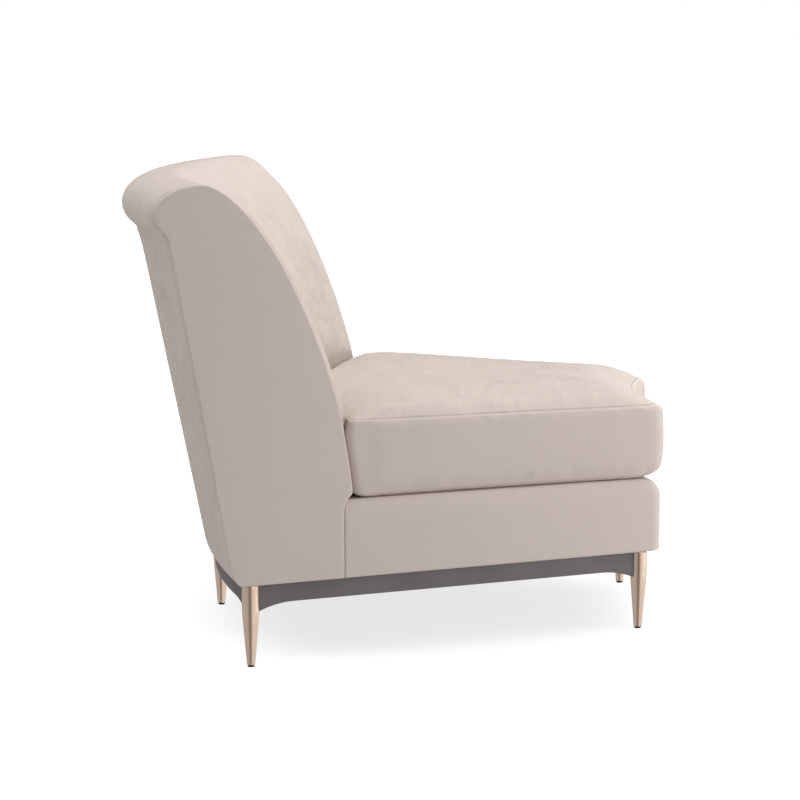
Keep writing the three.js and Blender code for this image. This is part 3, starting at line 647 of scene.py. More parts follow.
def wedge_plan(front, rear, inset, corner, rear_corner, draw_in=0.0, counts=fine_plan):
    """(radius, share, inset) round the plan, from the front's middle over the left side and back."""
    front_count, corner_count, flank_count, rear_corner_count, rear_count = counts
    turn = np.linspace(0, math.pi / 2, corner_count)
    rear_turn = np.linspace(math.pi / 2, 0, rear_corner_count)
    along = np.linspace(0, 1, flank_count)[1:-1]
    flank = front + corner + (rear - rear_corner - front - corner) * along
    rear_away = rear_corner * (1 - np.cos(rear_turn))
    parts = [
        (front, np.linspace(0, 1, front_count)[:-1], inset + corner),
        (front + corner * (1 - np.cos(turn)), 1, inset + corner * (1 - np.sin(turn))),
        (flank, 1, inset + draw_in * np.sin(np.pi * along)),
        (rear - rear_away, 1, inset + rear_corner * (1 - np.sin(rear_turn))),
        (rear, np.linspace(1, 0, rear_count)[1:], inset + rear_corner),
    ]
    half = np.vstack([np.column_stack(np.broadcast_arrays(*part)) for part in parts])
    return np.vstack([half, half[1:-1][::-1] * (1, -1, 1)])


def plan_xy(plan):
    return ring_point(plan[:, 0], plan[:, 1], plan[:, 2], 0.0)[:, :2] / MM


def radius_of(xy):
    return np.hypot(xy[:, 0], xy[:, 1] + axis_to_centre)


def depth_share(xy):
    return (radius_of(xy) - base_front) / (seam_radius - base_front)


def deck_at(xy):
    return deck - 4 * (1 - depth_share(xy))


def lifted(xy, z):
    return np.column_stack([xy, np.broadcast_to(z, len(xy))]) * MM


def map_boxed(obj, points, row, border_faces, count):
    """Flat cloth maps in metres: the border runs on round its middle row, the rest lies flat."""
    middle = points[row * count : (row + 1) * count]
    steps = np.linalg.norm(np.roll(middle, -1, axis=0) - middle, axis=1)
    along, around = np.concatenate([[0], np.cumsum(steps)[:-1]]), steps.sum()
    border = np.column_stack([np.resize(along, len(points)), points[:, 2]])
    layer = obj.data.uv_layers.new(name="cloth")
    for polygon in obj.data.polygons:
        on_border = polygon.index < border_faces
        flat = (border if on_border else points)[list(polygon.vertices), :2]
        if on_border and np.ptp(flat[:, 0]) > around / 2:
            flat[flat[:, 0] < around / 2, 0] += around
        for i, value in zip(polygon.loop_indices, flat):
            layer.data[i].uv = value


print("plan points:", len(wedge_plan(base_front, base_rear, 0, 22, 2)))

# %% [markdown]
# ## Seat base
# The base is a boxed border pulled over padding: a soft edge above, a smaller turn below, and a
# deck of plain lining cloth where the cushion lies, sewn in with one seam. The rear ends of its
# sides run up to the side panels, and their top corners duck under the panels' shoulders. Rows of
# quads make the border, and one padded face closes the deck.

# %% Layers of the seat base
turns = np.linspace(0, math.pi / 2, 9)


def base_plan(front_inset, side_inset):
    return wedge_plan(base_front + front_inset, base_rear, side_inset, 22, 2)


base_rows = []
lip_gap, foot_turn, top_turn = 0.2, 5, 34
for angle in turns:
    away = 1 - math.sin(angle)
    plan = base_plan(3.5 * away, 3 * away)
    z = np.full(len(plan), foot + lip_gap) + foot_turn * (1 - math.cos(angle))
    base_rows.append((plan, z))
plan = base_plan(0, 0)
high = deck_at(plan_xy(plan)) - top_turn
for t in np.linspace(0, 1, 22)[1:-1]:
    base_rows.append((plan, (foot + foot_turn + lip_gap) * (1 - t) + high * t))
for angle in turns:
    away = 1 - math.cos(angle)
    plan = base_plan(top_turn * away, 11 * away)
    base_rows.append((plan, deck_at(plan_xy(plan)) - top_turn * (1 - math.sin(angle))))
shoulder_fine = bezier(shoulder_points, 60)


def beside_panel(plan, z):
    """Keeps a layer of the base in front of the side panels' shoulders."""
    limit = np.interp(z, shoulder_fine[:, 1], shoulder_fine[:, 0], left=seam_radius) - 0.5
    radius, share, inset = plan.T
    start = seam_radius - 40
    beyond = (inset < pad_inset) & (np.abs(share) > 0.999) & (radius > start)
    squeezed = start + (radius - start) * (limit - start) / (base_rear - start)
    return np.column_stack([np.where(beyond, squeezed, radius), share, inset])


print("base layers:", len(base_rows))

# %% Skin of the seat base
base_points = [ring_point(*beside_panel(plan, z).T, z) for plan, z in base_rows]
top_plan, top_z = base_rows[-1]
top_outline = plan_xy(beside_panel(top_plan, top_z))
seam_depth = 30
deck_rings = [3, 7, 14, 22, seam_depth - 1.5, seam_depth, seam_depth + 1.5, 37, 50]
deck_flat, deck_triangles, deck_depth = padded_face(top_outline, deck_rings, 22)
deck_seam = np.exp(-(((deck_depth - seam_depth) / 1.2) ** 2))
count = len(top_outline)
skin = [*base_points[:-1], lifted(deck_flat, deck_at(deck_flat) - 1.5 * deck_seam)]
border_faces = strip_faces(len(base_points), count)
start = (len(base_points) - 1) * count
deck_faces = shifted(deck_triangles, start)
inner_xy = plan_xy(base_plan(28, 12))
inner_flat, inner_triangles, _ = padded_face(inner_xy, [10], 60)
low = start + len(deck_flat)
skin += [lifted(inner_xy, foot + 0.2), lifted(inner_flat, deck - 8)]
inner_faces = [(j, (j + 1) % count, low + (j + 1) % count, low + j) for j in range(count)]
inner_faces += strip_faces(2, count, start=low)
inner_faces += shifted(inner_triangles, low + count)
skin = np.vstack(skin)
faces = border_faces + deck_faces + inner_faces
base = mesh_object("base_cloth", skin, faces, [smooth_cloth, lining])
border_end = len(border_faces)
map_boxed(base, skin, len(base_points) // 2, border_end, count)
for polygon in base.data.polygons[border_end:]:
    ids = [i - start for i in polygon.vertices]
    if polygon.index >= border_end + len(deck_faces) or deck_depth[ids].min() > seam_depth - 0.5:
        polygon.material_index = 1
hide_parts("base_cover")
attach(base, "chair")
print("base:", len(base.data.polygons), "faces")

# %% [markdown]
# ## Seat cushion
# The loose cushion is a boxed cushion: a top panel and a border that wraps under a foam core, sewn
# with plain seams and closed with a zip at the rear. It is cut a little small and swells when it is
# filled. So the cloth is modelled flat between its seams first, and the swelling comes from Blender's
# cloth simulation: air pressure inside, no gravity, and the seams held where they are sewn. A
# limit keeps the result near the foam's size. The underside stays flat on the deck.

# %% Layers of the cushion
border_height, cushion_round, zip_share = 145.5, 24.0, 0.5


def lift_at(xy):
    """From the top seam up to the flat of the edge: full at the sides, small at the front."""
    return 5 + 15 * smoothstep(radius_of(xy), cushion_front, 100)


def border_at(xy):
    return deck_at(xy) + border_height - 3 * (1 - depth_share(xy))


def cushion_layer(inset, height):
    """The cushion's plan at a height above the deck, with one inset for each of its points."""
    rear = float(front_radius(deck + height)) - 2
    flush, one_in = [
        wedge_plan(cushion_front + i, rear - i, i, cushion_corner, 14, 3.0, coarse_plan)
        for i in (0, 1)
    ]
    plan = flush + (one_in - flush) * np.reshape(inset, (-1, 1))
    beside = (1 - np.abs(plan[:, 1])) * half_angle * plan[:, 0] + plan[:, 2]
    full = rounded(beside, crown_reach) * smoothstep(plan[:, 0], rear - 60, 45)
    plan[:, 0] -= front_crown(deck + height) * full
    return plan


outline_xy = plan_xy(cushion_layer(0, 20))
foot_round = 22 + 10 * (1 - smoothstep(radius_of(outline_xy), cushion_front, 60))
lift = lift_at(outline_xy)
cushion_rows = []
waist, deck_gap, foot_height = 1.5, 0.4, 30
for angle in np.linspace(0, math.pi / 2, 7):
    up = 1 - math.cos(angle)
    plan = cushion_layer(waist + foot_round * (1 - math.sin(angle)), foot_height * up)
    cushion_rows.append((plan, deck_at(plan_xy(plan)) + deck_gap + foot_round * up))
zip_t, zip_half, zip_fold, zip_sink = 0.47, 0.062, 0.075, 2.2
around_zip = [zip_t + step for step in (-zip_fold, -zip_half, 0, zip_half, zip_fold)]
border_steps = [0.09, 0.18, 0.27, 0.35, *around_zip, 0.59, 0.67, 0.75, 0.83, 0.92]
drops = [20, 15, 10.5, 7, 4.4, 2.6, 1.2, 0]
low_z = cushion_rows[-1][1]
for t in border_steps:
    plan = cushion_layer(waist * (1 - math.sin(math.pi * t)), foot_height + 95 * t)
    if abs(t - zip_t) < (zip_half + zip_fold) / 2:
        at_zip = (np.abs(plan[:, 1]) < zip_share) & (plan[:, 0] > 1000)
        plan[:, 0] -= np.where(at_zip, zip_sink, 0)
    high = border_at(plan_xy(plan)) - drops[0]
    cushion_rows.append((plan, low_z * (1 - t) + high * t))
for drop in drops:
    turn = cushion_round * (1 - rounded(lift + drop, cushion_round))
    inset = 1.0 + turn + 2.8 * math.exp(-drop / 1.4)
    plan = cushion_layer(inset, border_height - drop)
    cushion_rows.append((plan, border_at(plan_xy(plan)) - drop))
print("cushion rows:", len(cushion_rows), "of", len(outline_xy))

# %% Cloth of the cushion
seam_outline = plan_xy(cushion_rows[-1][0])
cushion_flat, cushion_triangles, cushion_depth = padded_face(
    seam_outline, [1.6, 4, 7.5, 12, 17, 23, 31, 42], 13
)
swell = lift_at(cushion_flat) * np.sin(np.clip(cushion_depth / 23, 0, 1) * math.pi / 2)
swell += 4.0 * np.sin(np.clip((cushion_depth - 14) / 140, 0, 1) * math.pi / 2)
swell *= 1 - 0.7 * np.exp((radius_of(cushion_flat) - radius_of(seam_outline).max()) / 38)
swell -= 1.6 * np.exp(-cushion_depth / 1.5)
under_flat, under_triangles, _ = padded_face(plan_xy(cushion_rows[0][0]), [8, 20], 30)
count = len(seam_outline)
layers = [ring_point(*plan.T, z) for plan, z in cushion_rows[:-1]]
start = len(layers) * count
top = lifted(cushion_flat, border_at(cushion_flat) + swell)
under = lifted(under_flat, deck_at(under_flat) + deck_gap)
points = np.vstack([*layers, top, under[count:]])
border_faces = strip_faces(len(cushion_rows), count)
top_faces = shifted(cushion_triangles, start)
shift = start + len(top) - count
under_faces = [tuple((i if i < count else i + shift) for i in f)[::-1] for f in under_triangles]
faces = border_faces + top_faces + under_faces
cushion = mesh_object("seat_cushion_cloth", points, faces, [swept_cloth, smooth_cloth])
border_end = len(border_faces)
map_boxed(cushion, points, len(layers) // 2, border_end, count)
for polygon in cushion.data.polygons[:border_end]:
    polygon.material_index = 1
print("cushion cloth:", len(points), "points")

# %% Fill the cushion
is_top = np.zeros(len(points), bool)
is_top[start + count : start + len(top)] = True
is_border = np.zeros(len(points), bool)
is_border[count * 2 : start] = True


def fill_with_air(obj, held, pressure, frames):
    """Cloth simulation on a closed piece: returns where its points go."""
    group = obj.vertex_groups.new(name="sewn")
    group.add([int(i) for i in np.flatnonzero(held)], 1.0, "REPLACE")
    cloth = obj.modifiers.new("fill", "CLOTH")
    settings = cloth.settings
    settings.quality = 6
    settings.mass = 0.25
    settings.tension_stiffness = settings.compression_stiffness = 12
    settings.shear_stiffness, settings.bending_stiffness = 6, 0.6
    settings.use_pressure = True
    settings.uniform_pressure_force = pressure
    settings.vertex_group_mass = "sewn"
    settings.shrink_min = -0.012
    settings.effector_weights.gravity = 0
    cloth.collision_settings.use_collision = False
    cloth.collision_settings.use_self_collision = False
    cloth.point_cache.frame_start, cloth.point_cache.frame_end = 1, frames
    for frame_number in range(1, frames + 1):
        scene.frame_set(frame_number)
    depsgraph = bpy.context.evaluated_depsgraph_get()
    result = obj.evaluated_get(depsgraph).to_mesh()
    moved = np.empty(len(result.vertices) * 3)
    result.vertices.foreach_get("co", moved)
    obj.modifiers.clear()
    obj.vertex_groups.clear()
    scene.frame_set(1)
    return moved.reshape(-1, 3)


wanted_peak, quick_peak = 10.0, 8.0
filled = fill_with_air(cushion, ~(is_top | is_border), pressure=4.0, frames=20)
pushed = (filled - points) / MM
peak = np.percentile(pushed[is_top, 2], 98)
print("the air lifts the top by", round(float(peak), 1), "mm")
pushed[is_top] *= wanted_peak / peak
size = np.linalg.norm(pushed, axis=1)
limit = np.where(is_border, 2.6, 14.0)
pushed *= (limit * np.tanh(size / limit) / np.maximum(size, 1e-6))[:, None]
rearwards = smoothstep(radius_of(points[:, :2] / MM), 1080, 40) * is_border
points = points + pushed * (1 - rearwards)[:, None] * MM
cushion.data.vertices.foreach_set("co", points.astype(np.float32).ravel())

# %% Finish the cushion
# Painted shade on the top seam's row and a painted highlight on the three border rows just below it.
seam_painted_light_and_shade = np.zeros(len(points))
for below, amount in enumerate((-1.2, 0.4, 0.9, 0.3)):
    row = len(layers) - below
    seam_painted_light_and_shade[row * count : (row + 1) * count] = amount
paint_light_and_shade(cushion, seam_painted_light_and_shade)
ends = np.array([edge.vertices[:] for edge in cushion.data.edges])
on_seam = ((ends >= start) & (ends < start + count)).all(1)
crease = cushion.data.attributes.new("crease_edge", "FLOAT", "EDGE")
crease.data.foreach_set("value", on_seam.astype(np.float32))
cushion.modifiers.new("smooth", "SUBSURF")
cushion.modifiers["smooth"].levels = cushion.modifiers["smooth"].render_levels = 1
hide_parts("cushion_cover", "cushion_foam")
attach(cushion, "seat_cushion")
print("cushion:", len(cushion.data.polygons), "faces")

# %% [markdown]
# ## Rows of small things
# Stitches, zip teeth and staples all repeat along a line. Modelling each by hand would be endless,
# and an array modifier can't follow a bend at an even pitch. One Geometry Nodes tree does it: the
# line becomes a curve, the curve is cut into even steps, and a small shape is set on each step,
# turned along the line. The last nodes make real geometry of the copies and paint them.

# %% Tree for things along a line
def named_tree(name, **inputs):
    """A geometry tree with named inputs: each is a starting number, or the name of its kind."""
    tree = bpy.data.node_groups.new(name, "GeometryNodeTree")
    sides = {"in_out": "INPUT", "socket_type": "NodeSocketGeometry"}
    tree.interface.new_socket("Geometry", **sides)
    for label, value in inputs.items():
        kind = value if isinstance(value, str) else {int: "Int", float: "Float"}[type(value)]
        socket = tree.interface.new_socket(
            label.replace("_", " "), in_out="INPUT", socket_type="NodeSocket" + kind
        )
        if kind != value:
            socket.default_value = value
    tree.interface.new_socket("Geometry", **{**sides, "in_out": "OUTPUT"})
    put = wiring(tree)
    return tree, put, put("NodeGroupInput").outputs


def painted(put, given, geometry):
    """Ends a tree: makes the copies real and gives them the finish."""
    real = put("GeometryNodeRealizeInstances", geometry)
    put("NodeGroupOutput", put("GeometryNodeSetMaterial", real, Material=given["Finish"]))


def row_tree():
    tree, put, given = named_tree(
        "things_along_a_line", Pitch=0.003, Shape="Object", Finish="Material"
    )
    curve = put("GeometryNodeMeshToCurve", given["Geometry"])
    even = put("GeometryNodeResampleCurve", curve, mode="LENGTH", Length=given["Pitch"])
    shape = put("GeometryNodeObjectInfo", given["Shape"]).outputs["Geometry"]
    tangent = put("GeometryNodeInputTangent")
    turn = put("FunctionNodeAlignRotationToVector", axis="X", pivot_axis="Z", Vector=tangent)
    painted(put, given, put("GeometryNodeInstanceOnPoints", even, Instance=shape, Rotation=turn))
    return tree


def grown(name, tree, values, start=None):
    """A plain mesh object made by a tree, from a starting mesh and named input values."""
    obj = bpy.data.objects.new(name, start or bpy.data.meshes.new(name))
    scene.collection.objects.link(obj)
    modifier = obj.modifiers.new("nodes", "NODES")
    modifier.node_group = tree
    for item in tree.interface.items_tree:
        if item.in_out == "INPUT" and item.name in values:
            modifier[item.identifier] = values[item.name]
    depsgraph = bpy.context.evaluated_depsgraph_get()
    mesh = bpy.data.meshes.new_from_object(obj.evaluated_get(depsgraph))
    obj.modifiers.clear()
    obj.data = mesh
    mesh.shade_smooth()
    return obj


def row_of_things(name, pitch, shape, material, points, closed=False):
    """Copies of a shape along a row of points, a pitch apart in metres."""
    mesh = bpy.data.meshes.new(name + " line")
    count = len(points)
    edges = [(i, (i + 1) % count) for i in range(count if closed else count - 1)]
    mesh.from_pydata([tuple(p) for p in points], edges, [])
    return grown(name, things_along, {"Pitch": pitch, "Shape": shape, "Finish": material}, mesh)


def grain_shape(name, length, width, height, segments=8, rings=6):
    """A plump grain, such as one stitch: rings of points that close at both ends."""
    t = np.linspace(0, math.pi, rings + 1)[1:-1, None]
    turn = np.linspace(0, 2 * math.pi, segments, endpoint=False)
    body = np.stack(np.broadcast_arrays(
        -np.cos(t) * length / 2,
        np.sin(t) * np.cos(turn) * width / 2,
        np.sin(t) * np.sin(turn) * height / 2,
    ), -1).reshape(-1, 3)
    count = len(body)
    faces = strip_faces(len(t), segments)
    for j in range(segments):
        k = (j + 1) % segments
        faces += [(count, k, j), (count + 1, count - segments + j, count - segments + k)]
    tips = [(-length / 2, 0, 0), (length / 2, 0, 0)]
    return mesh_object(name, np.vstack([body, tips]), faces, [])


things_along = row_tree()
print("tree:", things_along.name, [i.name for i in things_along.interface.items_tree])

# %% [markdown]
# ## Seams of the cushion
# The top panel and the border are sewn right sides together, so outside there is only a fine
# groove with the thread deep in it. The stitches are plump grains of thread, 3 mm long.

# %% Stitches of the cushion
thread = finish(
    "seam_thread",
    [(0.0, shade(beige, 0.62)), (1.0, shade(beige, 0.85))],
    ("Wave", 1, None, {"Scale": 700.0, "Distortion": 0.5}),
    Roughness=0.7,
    Sheen_Weight=0.2,
    Specular_IOR_Level=0.3,
)
seam_line = points[start : start + count].copy()
seam_line[:, 2] -= 0.0004
stitch = grain_shape("stitch", 0.0026, 0.0008, 0.0008)
cushion_stitches = row_of_things(
    "cushion_seam_stitches", 0.0032, stitch, thread, seam_line, closed=True
)
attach(cushion_stitches, "seat_cushion")
print("cushion stitches:", len(cushion_stitches.data.polygons), "faces")

# %% [markdown]
# ## Zip
# The zip lets the foam in. It lies in a shallow channel along the rear border: two narrow tapes, a
# line of coil teeth where they meet, and a slider at one end.

# %% Zip
coil = finish(
    "zip_coil",
    [(0.35, (0.42, 0.36, 0.32)), (0.65, (0.52, 0.45, 0.4))],
    ("Noise", 1, None, {"Scale": 900.0, "Detail": 2.0}),
    Roughness=0.45,
    Specular_IOR_Level=0.5,
)
border_foot = 25
zip_mid = deck + deck_gap + border_foot
zip_mid += (border_height - drops[0] - deck_gap - border_foot) * zip_t
tape_shares = np.linspace(-0.492, 0.492, 61)


def rear_line(depth, z, shares=tape_shares):
    """Points in metres along the cushion's rear at a depth inside its border."""
    return ring_point(float(front_radius(z)) - 2 - depth, shares, 16.0, z)


tape_rows, tape_faces = [], []
count = len(tape_shares)
for low, high in ((-5.9, -0.5), (0.5, 5.9)):
    first = len(tape_rows) * count
    for depth, offset in ((1.5, low), (1.5, high), (2.1, high), (2.1, low)):
        tape_rows.append(rear_line(depth, zip_mid + offset))
    strings = [first + i * count for i in (0, 1, 2, 3)]
    for a, b in zip(strings, strings[1:] + strings[:1]):
        tape_faces += [(a + k, a + k + 1, b + k + 1, b + k) for k in range(count - 1)]
    tape_faces += [tuple(a + k for a in strings) for k in (0, count - 1)]
tapes = mesh_object("zip_tapes", np.vstack(tape_rows), tape_faces, [coil])
tooth = grain_shape("tooth", 0.0013, 0.0012, 0.0034)
teeth = row_of_things("zip_teeth", 0.0017, tooth, coil, rear_line(1.2, zip_mid))
bpy.data.objects.remove(stitch)
bpy.data.objects.remove(tooth)
for piece in (tapes, teeth):
    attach(piece, "seat_cushion")
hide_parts("cushion_zip")
print("zip:", len(teeth.data.polygons), "faces of teeth")

# %% [markdown]
# ## Legs
# Each leg is turned from tube: one even radius above the knee, a straight taper below it, and a
# small edge at the top where it meets the apron. A rule like that suits Geometry Nodes: a line is
# cut into rings, a circle is swept along it, and the rule gives the circle's size at each height.
# Two bores take the hanger bolt and the nail of the glide.

# %% Tree for a turned leg
def leg_tree():
    tree, put, given = named_tree(
        "turned_leg",
        Height=0.1493,
        Foot_level=0.0038,
        Knee=0.1,
        Radius=0.0155,
        Foot_radius=0.0075,
        Bolt_bore=0.0043,
        Nail_bore=0.0023,
        Rings=118,
        Sides=56,
        Place="Vector",
        Finish="Material",
    )
    height, foot_level, knee = given["Height"], given["Foot level"], given["Knee"]
    radius, foot_radius = given["Radius"], given["Foot radius"]

    def value(operation, *sources):
        return put("Math", *sources, operation=operation)

    def upright(z):
        return put("CombineXYZ", Z=z)

    line = put("GeometryNodeCurvePrimitiveLine", Start=upright(foot_level), End=upright(height))
    rings = put("GeometryNodeResampleCurve", line, Count=given["Rings"])
    z = put("SeparateXYZ", put("GeometryNodeInputPosition")).outputs["Z"]
    up = value("SUBTRACT", z, foot_level)
    share = value("DIVIDE", up, value("SUBTRACT", knee, foot_level))
    taper = value("MULTIPLY_ADD", share, value("SUBTRACT", radius, foot_radius), foot_radius)
    body = value("SMOOTH_MIN", taper, radius, 0.0004)
    below_top = value("SUBTRACT", height, z)
    top_edge = value("ADD", below_top, value("SUBTRACT", radius, 0.001))
    foot_edge = value("ADD", up, value("SUBTRACT", foot_radius, 0.0006))
    eased = value("MINIMUM", value("MINIMUM", body, top_edge), foot_edge)
    circle = put("GeometryNodeCurvePrimitiveCircle", Resolution=given["Sides"], Radius=1)
    sweep = put("GeometryNodeCurveToMesh", rings, circle, Scale=eased, Fill_Caps=True)
    bored = put("GeometryNodeMeshBoolean", operation="DIFFERENCE", Mesh_1=sweep)
    for bore, level, depth in (("Bolt bore", height, 0.052), ("Nail bore", foot_level, 0.024)):
        drill = put("GeometryNodeMeshCylinder", Vertices=24, Depth=depth, Radius=given[bore])
        set_in = put("GeometryNodeTransform", drill, Translation=upright(level))
        tree.links.new(set_in.outputs[0], bored.inputs["Mesh 2"])
    painted(put, given, put("GeometryNodeTransform", bored, Translation=given["Place"]))
    return tree


print("leg rule ready")

# %% Legs
satin = finish(
    "champagne_satin_metal",
    [(0.35, (0.80, 0.61, 0.485)), (0.65, (0.86, 0.665, 0.53))],
    ("Noise", 1, None, {"Scale": 14.0, "Detail": 3.0}),
    ("Noise", 0, (1, 1, 60), {"Scale": 60.0, "Detail": 2.0}),
    bump=(0.12, 0.0002),
    Metallic=1.0,
    Roughness=0.27,
)
rear_leg, front_leg, leg_inset = 1331.5, 560.0, 16.0
turned_leg = leg_tree()
leg_places = {
    "rear_right": ring_point(rear_leg, -1, leg_inset, 0.0),
    "rear_left": ring_point(rear_leg, 1, leg_inset, 0.0),
    "rear_center": ring_point(rear_leg, 0, 0.0, 0.0),
    "front_right": ring_point(front_leg, -1, leg_inset, 0.0),
    "front_left": ring_point(front_leg, 1, leg_inset, 0.0),
}
for name, place in leg_places.items():
    leg = grown("turned_leg_" + name, turned_leg, {"Place": [float(v) for v in place], "Finish": satin})
    leg.data.set_sharp_from_angle(angle=math.radians(35))
    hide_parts("leg_" + name)
    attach(leg, "chair")
print("legs:", len(leg.data.polygons), "faces each")

# %% [markdown]
# ## Apron boards
# Five thin boards frame the chair under the upholstery, each with a bracket curve down to the leg
# at either end and coped to fit round the leg. They are sprayed a dark taupe. A board is a rounded
# section carried from leg to leg; at its ends each string of the section stops where it meets the
# leg's own circle, which gives the coped end.

# %% Apron boards
lacquer = finish(
    "taupe_lacquer",
    [(0.35, (0.149, 0.13, 0.136)), (0.65, (0.173, 0.152, 0.157))],
    ("Noise", 1, None, {"Scale": 9.0, "Detail": 4.0}),
    ("Noise", 0, (1, 1, 22), {"Scale": 30.0, "Detail": 6.0, "Roughness": 0.7}),
    bump=(0.15, 0.0006),
    Roughness=0.5,
    Specular_IOR_Level=0.3,
)
apron_top, apron_low = 149.3, 114.2
leg_clear = 15.5 + 0.4
bracket_drop, bracket_reach = 20, 78


def board_section(half_thick=7, ease=1.6):
    """(across, height share, rise) round a board with eased edges."""
    turn = np.linspace(0, math.pi / 2, 5)
    corner = list(zip(half_thick - ease * (1 - np.sin(turn)), ease * (1 - np.cos(turn))))
    half = [(a, 0.0, b) for a, b in corner] + [(half_thick, s, 0.0) for s in (0.2, 0.4, 0.6, 0.8)]
    half += [(a, 1.0, -b) for a, b in corner[::-1]]
    return np.array(half + [(-a, share, rise) for a, share, rise in half[::-1]])


section = board_section()


def board(name, length, place_at):
    """A board between two leg axes a length apart; place_at gives points from (along, across, z)."""
    reach = np.sqrt(leg_clear**2 - section[:, 0] ** 2)
    rows = []
    for t in (1 - np.cos(np.linspace(0, math.pi, 56))) / 2:
        along = reach + (length - 2 * reach) * t
        near = np.minimum(along, length - along)
        low = apron_low - bracket_drop * np.maximum(0, 1 - near / bracket_reach) ** 2
        z = low + (apron_top - low) * section[:, 1] + section[:, 2]
        rows.append(place_at(along, section[:, 0], z))
    end = tuple(range(len(section)))
    faces = strip_faces(len(rows), len(section)) + [end]
    faces += shifted([end], (len(rows) - 1) * len(section))
    obj = mesh_object(name.replace("apron", "apron_board"), np.vstack(rows), faces, [lacquer])
    obj.data.set_sharp_from_angle(angle=math.radians(50))
    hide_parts(name)
    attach(obj, "chair")
    return obj


for name, side in (("apron_right", -1), ("apron_left", 1)):
    board(
        name,
        rear_leg - front_leg,
        lambda a, w, z, s=side: ring_point(front_leg + a, s, leg_inset + w, z),
    )
for name, radius, first, last in (
    ("apron_front", front_leg, -1, 1),
    ("apron_rear_right", rear_leg, -1, 0),
    ("apron_rear_left", rear_leg, 0, 1),
):
    leg_angle = half_angle - math.asin(leg_inset / radius)

    def along_ring(a, w, z, r=radius, f=first, n=leg_angle):
        return ring_point(r + w, (f + a / (n * r)) * n / half_angle, 0.0, z)

    front_board = board(name, (last - first) * leg_angle * radius, along_ring)
print("apron boards:", len(front_board.data.polygons), "faces each")

# %% [markdown]
# ## Dust cover
# A thin non-woven cloth closes the chair from below. It is cut to the wedge, stretched over the
# rails and stapled along its edges, and it hangs a hair lower in the middle. The cut is known, so
# the sheet is modelled directly. The staples are bent wires in an even row.

# %% Dust cover
dust = finish(
    "dust_cloth",
    [(0.1, (0.009, 0.009, 0.01)), (0.7, (0.022, 0.022, 0.023))],
    ("Voronoi", 1, None, {"Scale": 420.0}),
    bump=(0.3, 0.0003),
    Roughness=0.95,
    Specular_IOR_Level=0.1,
)
cloth_front, cloth_rear, cloth_inset = 546.0, 1315.0, 13.0
across, deep = 49, 57
grid_share, grid_radius = np.meshgrid(
    np.linspace(-1, 1, across), np.linspace(cloth_front, cloth_rear, deep)
)
edge_near = np.minimum(grid_radius - cloth_front, cloth_rear - grid_radius)
edge_near = np.minimum(edge_near, (1 - np.abs(grid_share)) * half_angle * grid_radius)
sag = 3.0 * smoothstep(edge_near, 45, 160)
sheet_points = [
    ring_point(grid_radius, grid_share, cloth_inset, foot + face - sag).reshape(-1, 3)
    for face in (0.15, 0.55)
]
size = across * deep
quads = strip_faces(deep, across, False)
faces = [f[::-1] for f in quads] + shifted(quads, size)
ids = np.arange(size).reshape(deep, across)
rim = [*ids[0], *ids[1:, -1], *ids[-1, -2::-1], *ids[-2:0:-1, 0]]
faces += [(a, b, b + size, a + size) for a, b in zip(rim, rim[1:] + rim[:1])]
dust_cover = mesh_object("dust_cover_cloth", np.vstack(sheet_points), faces, [dust])
corners = ring_point([cloth_front, cloth_front, cloth_rear, cloth_rear], [0, 1, 0, 1], cloth_inset, 0)
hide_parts("dust_cover")
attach(dust_cover, "chair")

# %% Staples
zinc = finish(
    "zinc_steel",
    [(0.1, (0.33, 0.34, 0.35)), (0.8, (0.47, 0.48, 0.49))],
    ("Voronoi", 1, None, {"Scale": 160.0}),
    ("Noise", 0, None, {"Scale": 90.0, "Detail": 3.0}),
    bump=(0.1, 0.0002),
    Metallic=1.0,
    Roughness=0.38,
)
staple = grain_shape("staple", 0.0105, 0.0012, 0.0007, 6, 8)
from_edge, pitch, under_cloth = 9, 0.034, foot - 0.15
edge_t = np.linspace(-0.97, 0.97, 60)
inner = np.linspace(cloth_front + 22, cloth_rear - 22, 60)
lines = {
    "front": ring_point(cloth_front + from_edge, edge_t, cloth_inset, under_cloth),
    "rear": ring_point(cloth_rear - from_edge, edge_t, cloth_inset, under_cloth),
    "right": ring_point(inner, -1, cloth_inset + from_edge, under_cloth),
    "left": ring_point(inner, 1, cloth_inset + from_edge, under_cloth),
}
for name, line in lines.items():
    row = row_of_things("dust_cover_staples_" + name, pitch, staple, zinc, line)
    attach(row, "chair")
bpy.data.objects.remove(staple)
print("staples:", len(row.data.polygons), "faces in the last row")

# %% Zip slider
def zip_block(depths, widths, heights):
    """Eight corners of a block at the closed end of the zip; widths in shares of the rear."""
    return [rear_line(d, zip_mid + h, 0.478 + w) for d in depths for w in widths for h in heights]


block_faces = [(0, 1, 3, 2), (4, 6, 7, 5), (0, 4, 5, 1), (2, 3, 7, 6), (0, 2, 6, 4), (1, 5, 7, 3)]
body = zip_block((1.2, -0.4), (-0.011, 0.011), (-3.4, 3.4))
pull = zip_block((-0.6, -1.3), (-0.005, 0.005), (-15.0, 1.0))
both_faces = block_faces + shifted(block_faces, len(body))
slider = mesh_object("zip_slider", np.vstack([body, pull]), both_faces, [zinc])
eased = slider.modifiers.new("eased", "BEVEL")
eased.width, eased.segments = 0.0003, 2
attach(slider, "seat_cushion")
print("zip slider:", len(slider.data.polygons), "faces before its edges are eased")

# %% [markdown]
# ## Finishes of the frame
# What the cloth hides still has its own stuff: birch plywood sides and rib, planed hardwood rails,
# zinc-plated springs and bolts, black webbing, grey felt and dark plastic glides. These pieces keep
# the shapes of the engineering model and only get a finish.

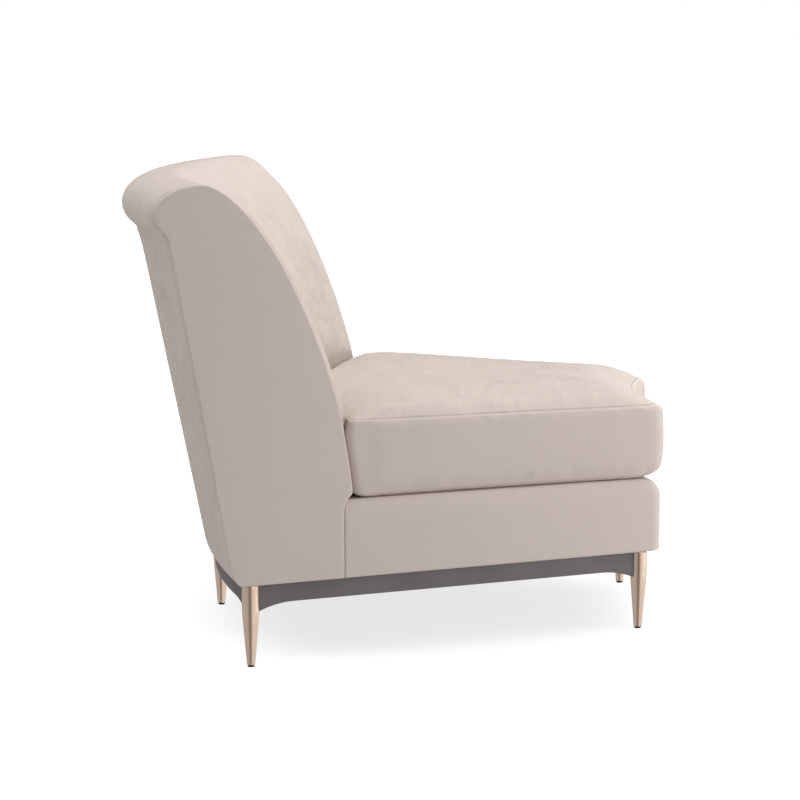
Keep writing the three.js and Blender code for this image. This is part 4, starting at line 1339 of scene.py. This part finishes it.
# %% Wood finishes
def wood(name, light, dark, along, figure):
    """Bare wood: along is the mapping scale that draws the grain out along the board."""
    return finish(
        name,
        [(0.3, dark), (0.7, light)],
        ("Wave", 0.3, along, {"Scale": figure / 4, "Distortion": 5.0, "Detail": 3.0}),
        ("Noise", 0.7, along, {"Scale": figure, "Detail": 8.0, "Roughness": 0.65, "Distortion": 0.5}),
        bump=(0.25, 0.0005),
        Roughness=0.62,
        Specular_IOR_Level=0.3,
    )


birch = wood("birch_plywood", (0.62, 0.45, 0.27), (0.5, 0.33, 0.18), (1, 1, 7), 26)
oak = wood("planed_hardwood", (0.46, 0.3, 0.16), (0.34, 0.2, 0.1), (1, 5, 5), 22)
print("woods:", birch.name, oak.name)

# %% Other finishes
def plain_stuff(name, dark, light, roughness, texture, scale, depth, stretch=None):
    """A finish with one pattern for both its tone and its relief."""
    pattern = (texture, 1, stretch, {"Scale": scale})
    looks = {"Roughness": roughness, "Specular_IOR_Level": 0.35}
    return finish(name, [(0.3, dark), (0.7, light)], pattern, bump=(0.4, depth), **looks)


webbing = plain_stuff(
    "woven_webbing", (0.018, 0.018, 0.02), (0.045, 0.044, 0.046), 0.85, "Wave", 90, 0.0008, (1, 1, 2)
)
felt = plain_stuff("pressed_felt", (0.25, 0.22, 0.19), (0.38, 0.34, 0.3), 0.95, "Noise", 260, 0.0006)
glide_plastic = plain_stuff("glide_plastic", grey(0.008), grey(0.014), 0.5, "Noise", 500, 0.0001)
finish_of = {
    "plywood": birch,
    "hardwood": oak,
    "hardware_steel": zinc,
    "webbing": webbing,
    "felt": felt,
    "glide_plastic": glide_plastic,
}
slot_of = {part["node"]: part["material_slot"] for part in frame["record"]["subparts"]}
dressed = {name: obj for name, obj in nodes.items() if not obj.hide_render}
for name, obj in dressed.items():
    stuff = finish_of[slot_of[name]]
    if not obj.material_slots:
        obj.data.materials.append(stuff)
    for place in obj.material_slots:
        place.material = stuff
print("carried-over pieces with a finish:", len(dressed))

# %% Import json
import json
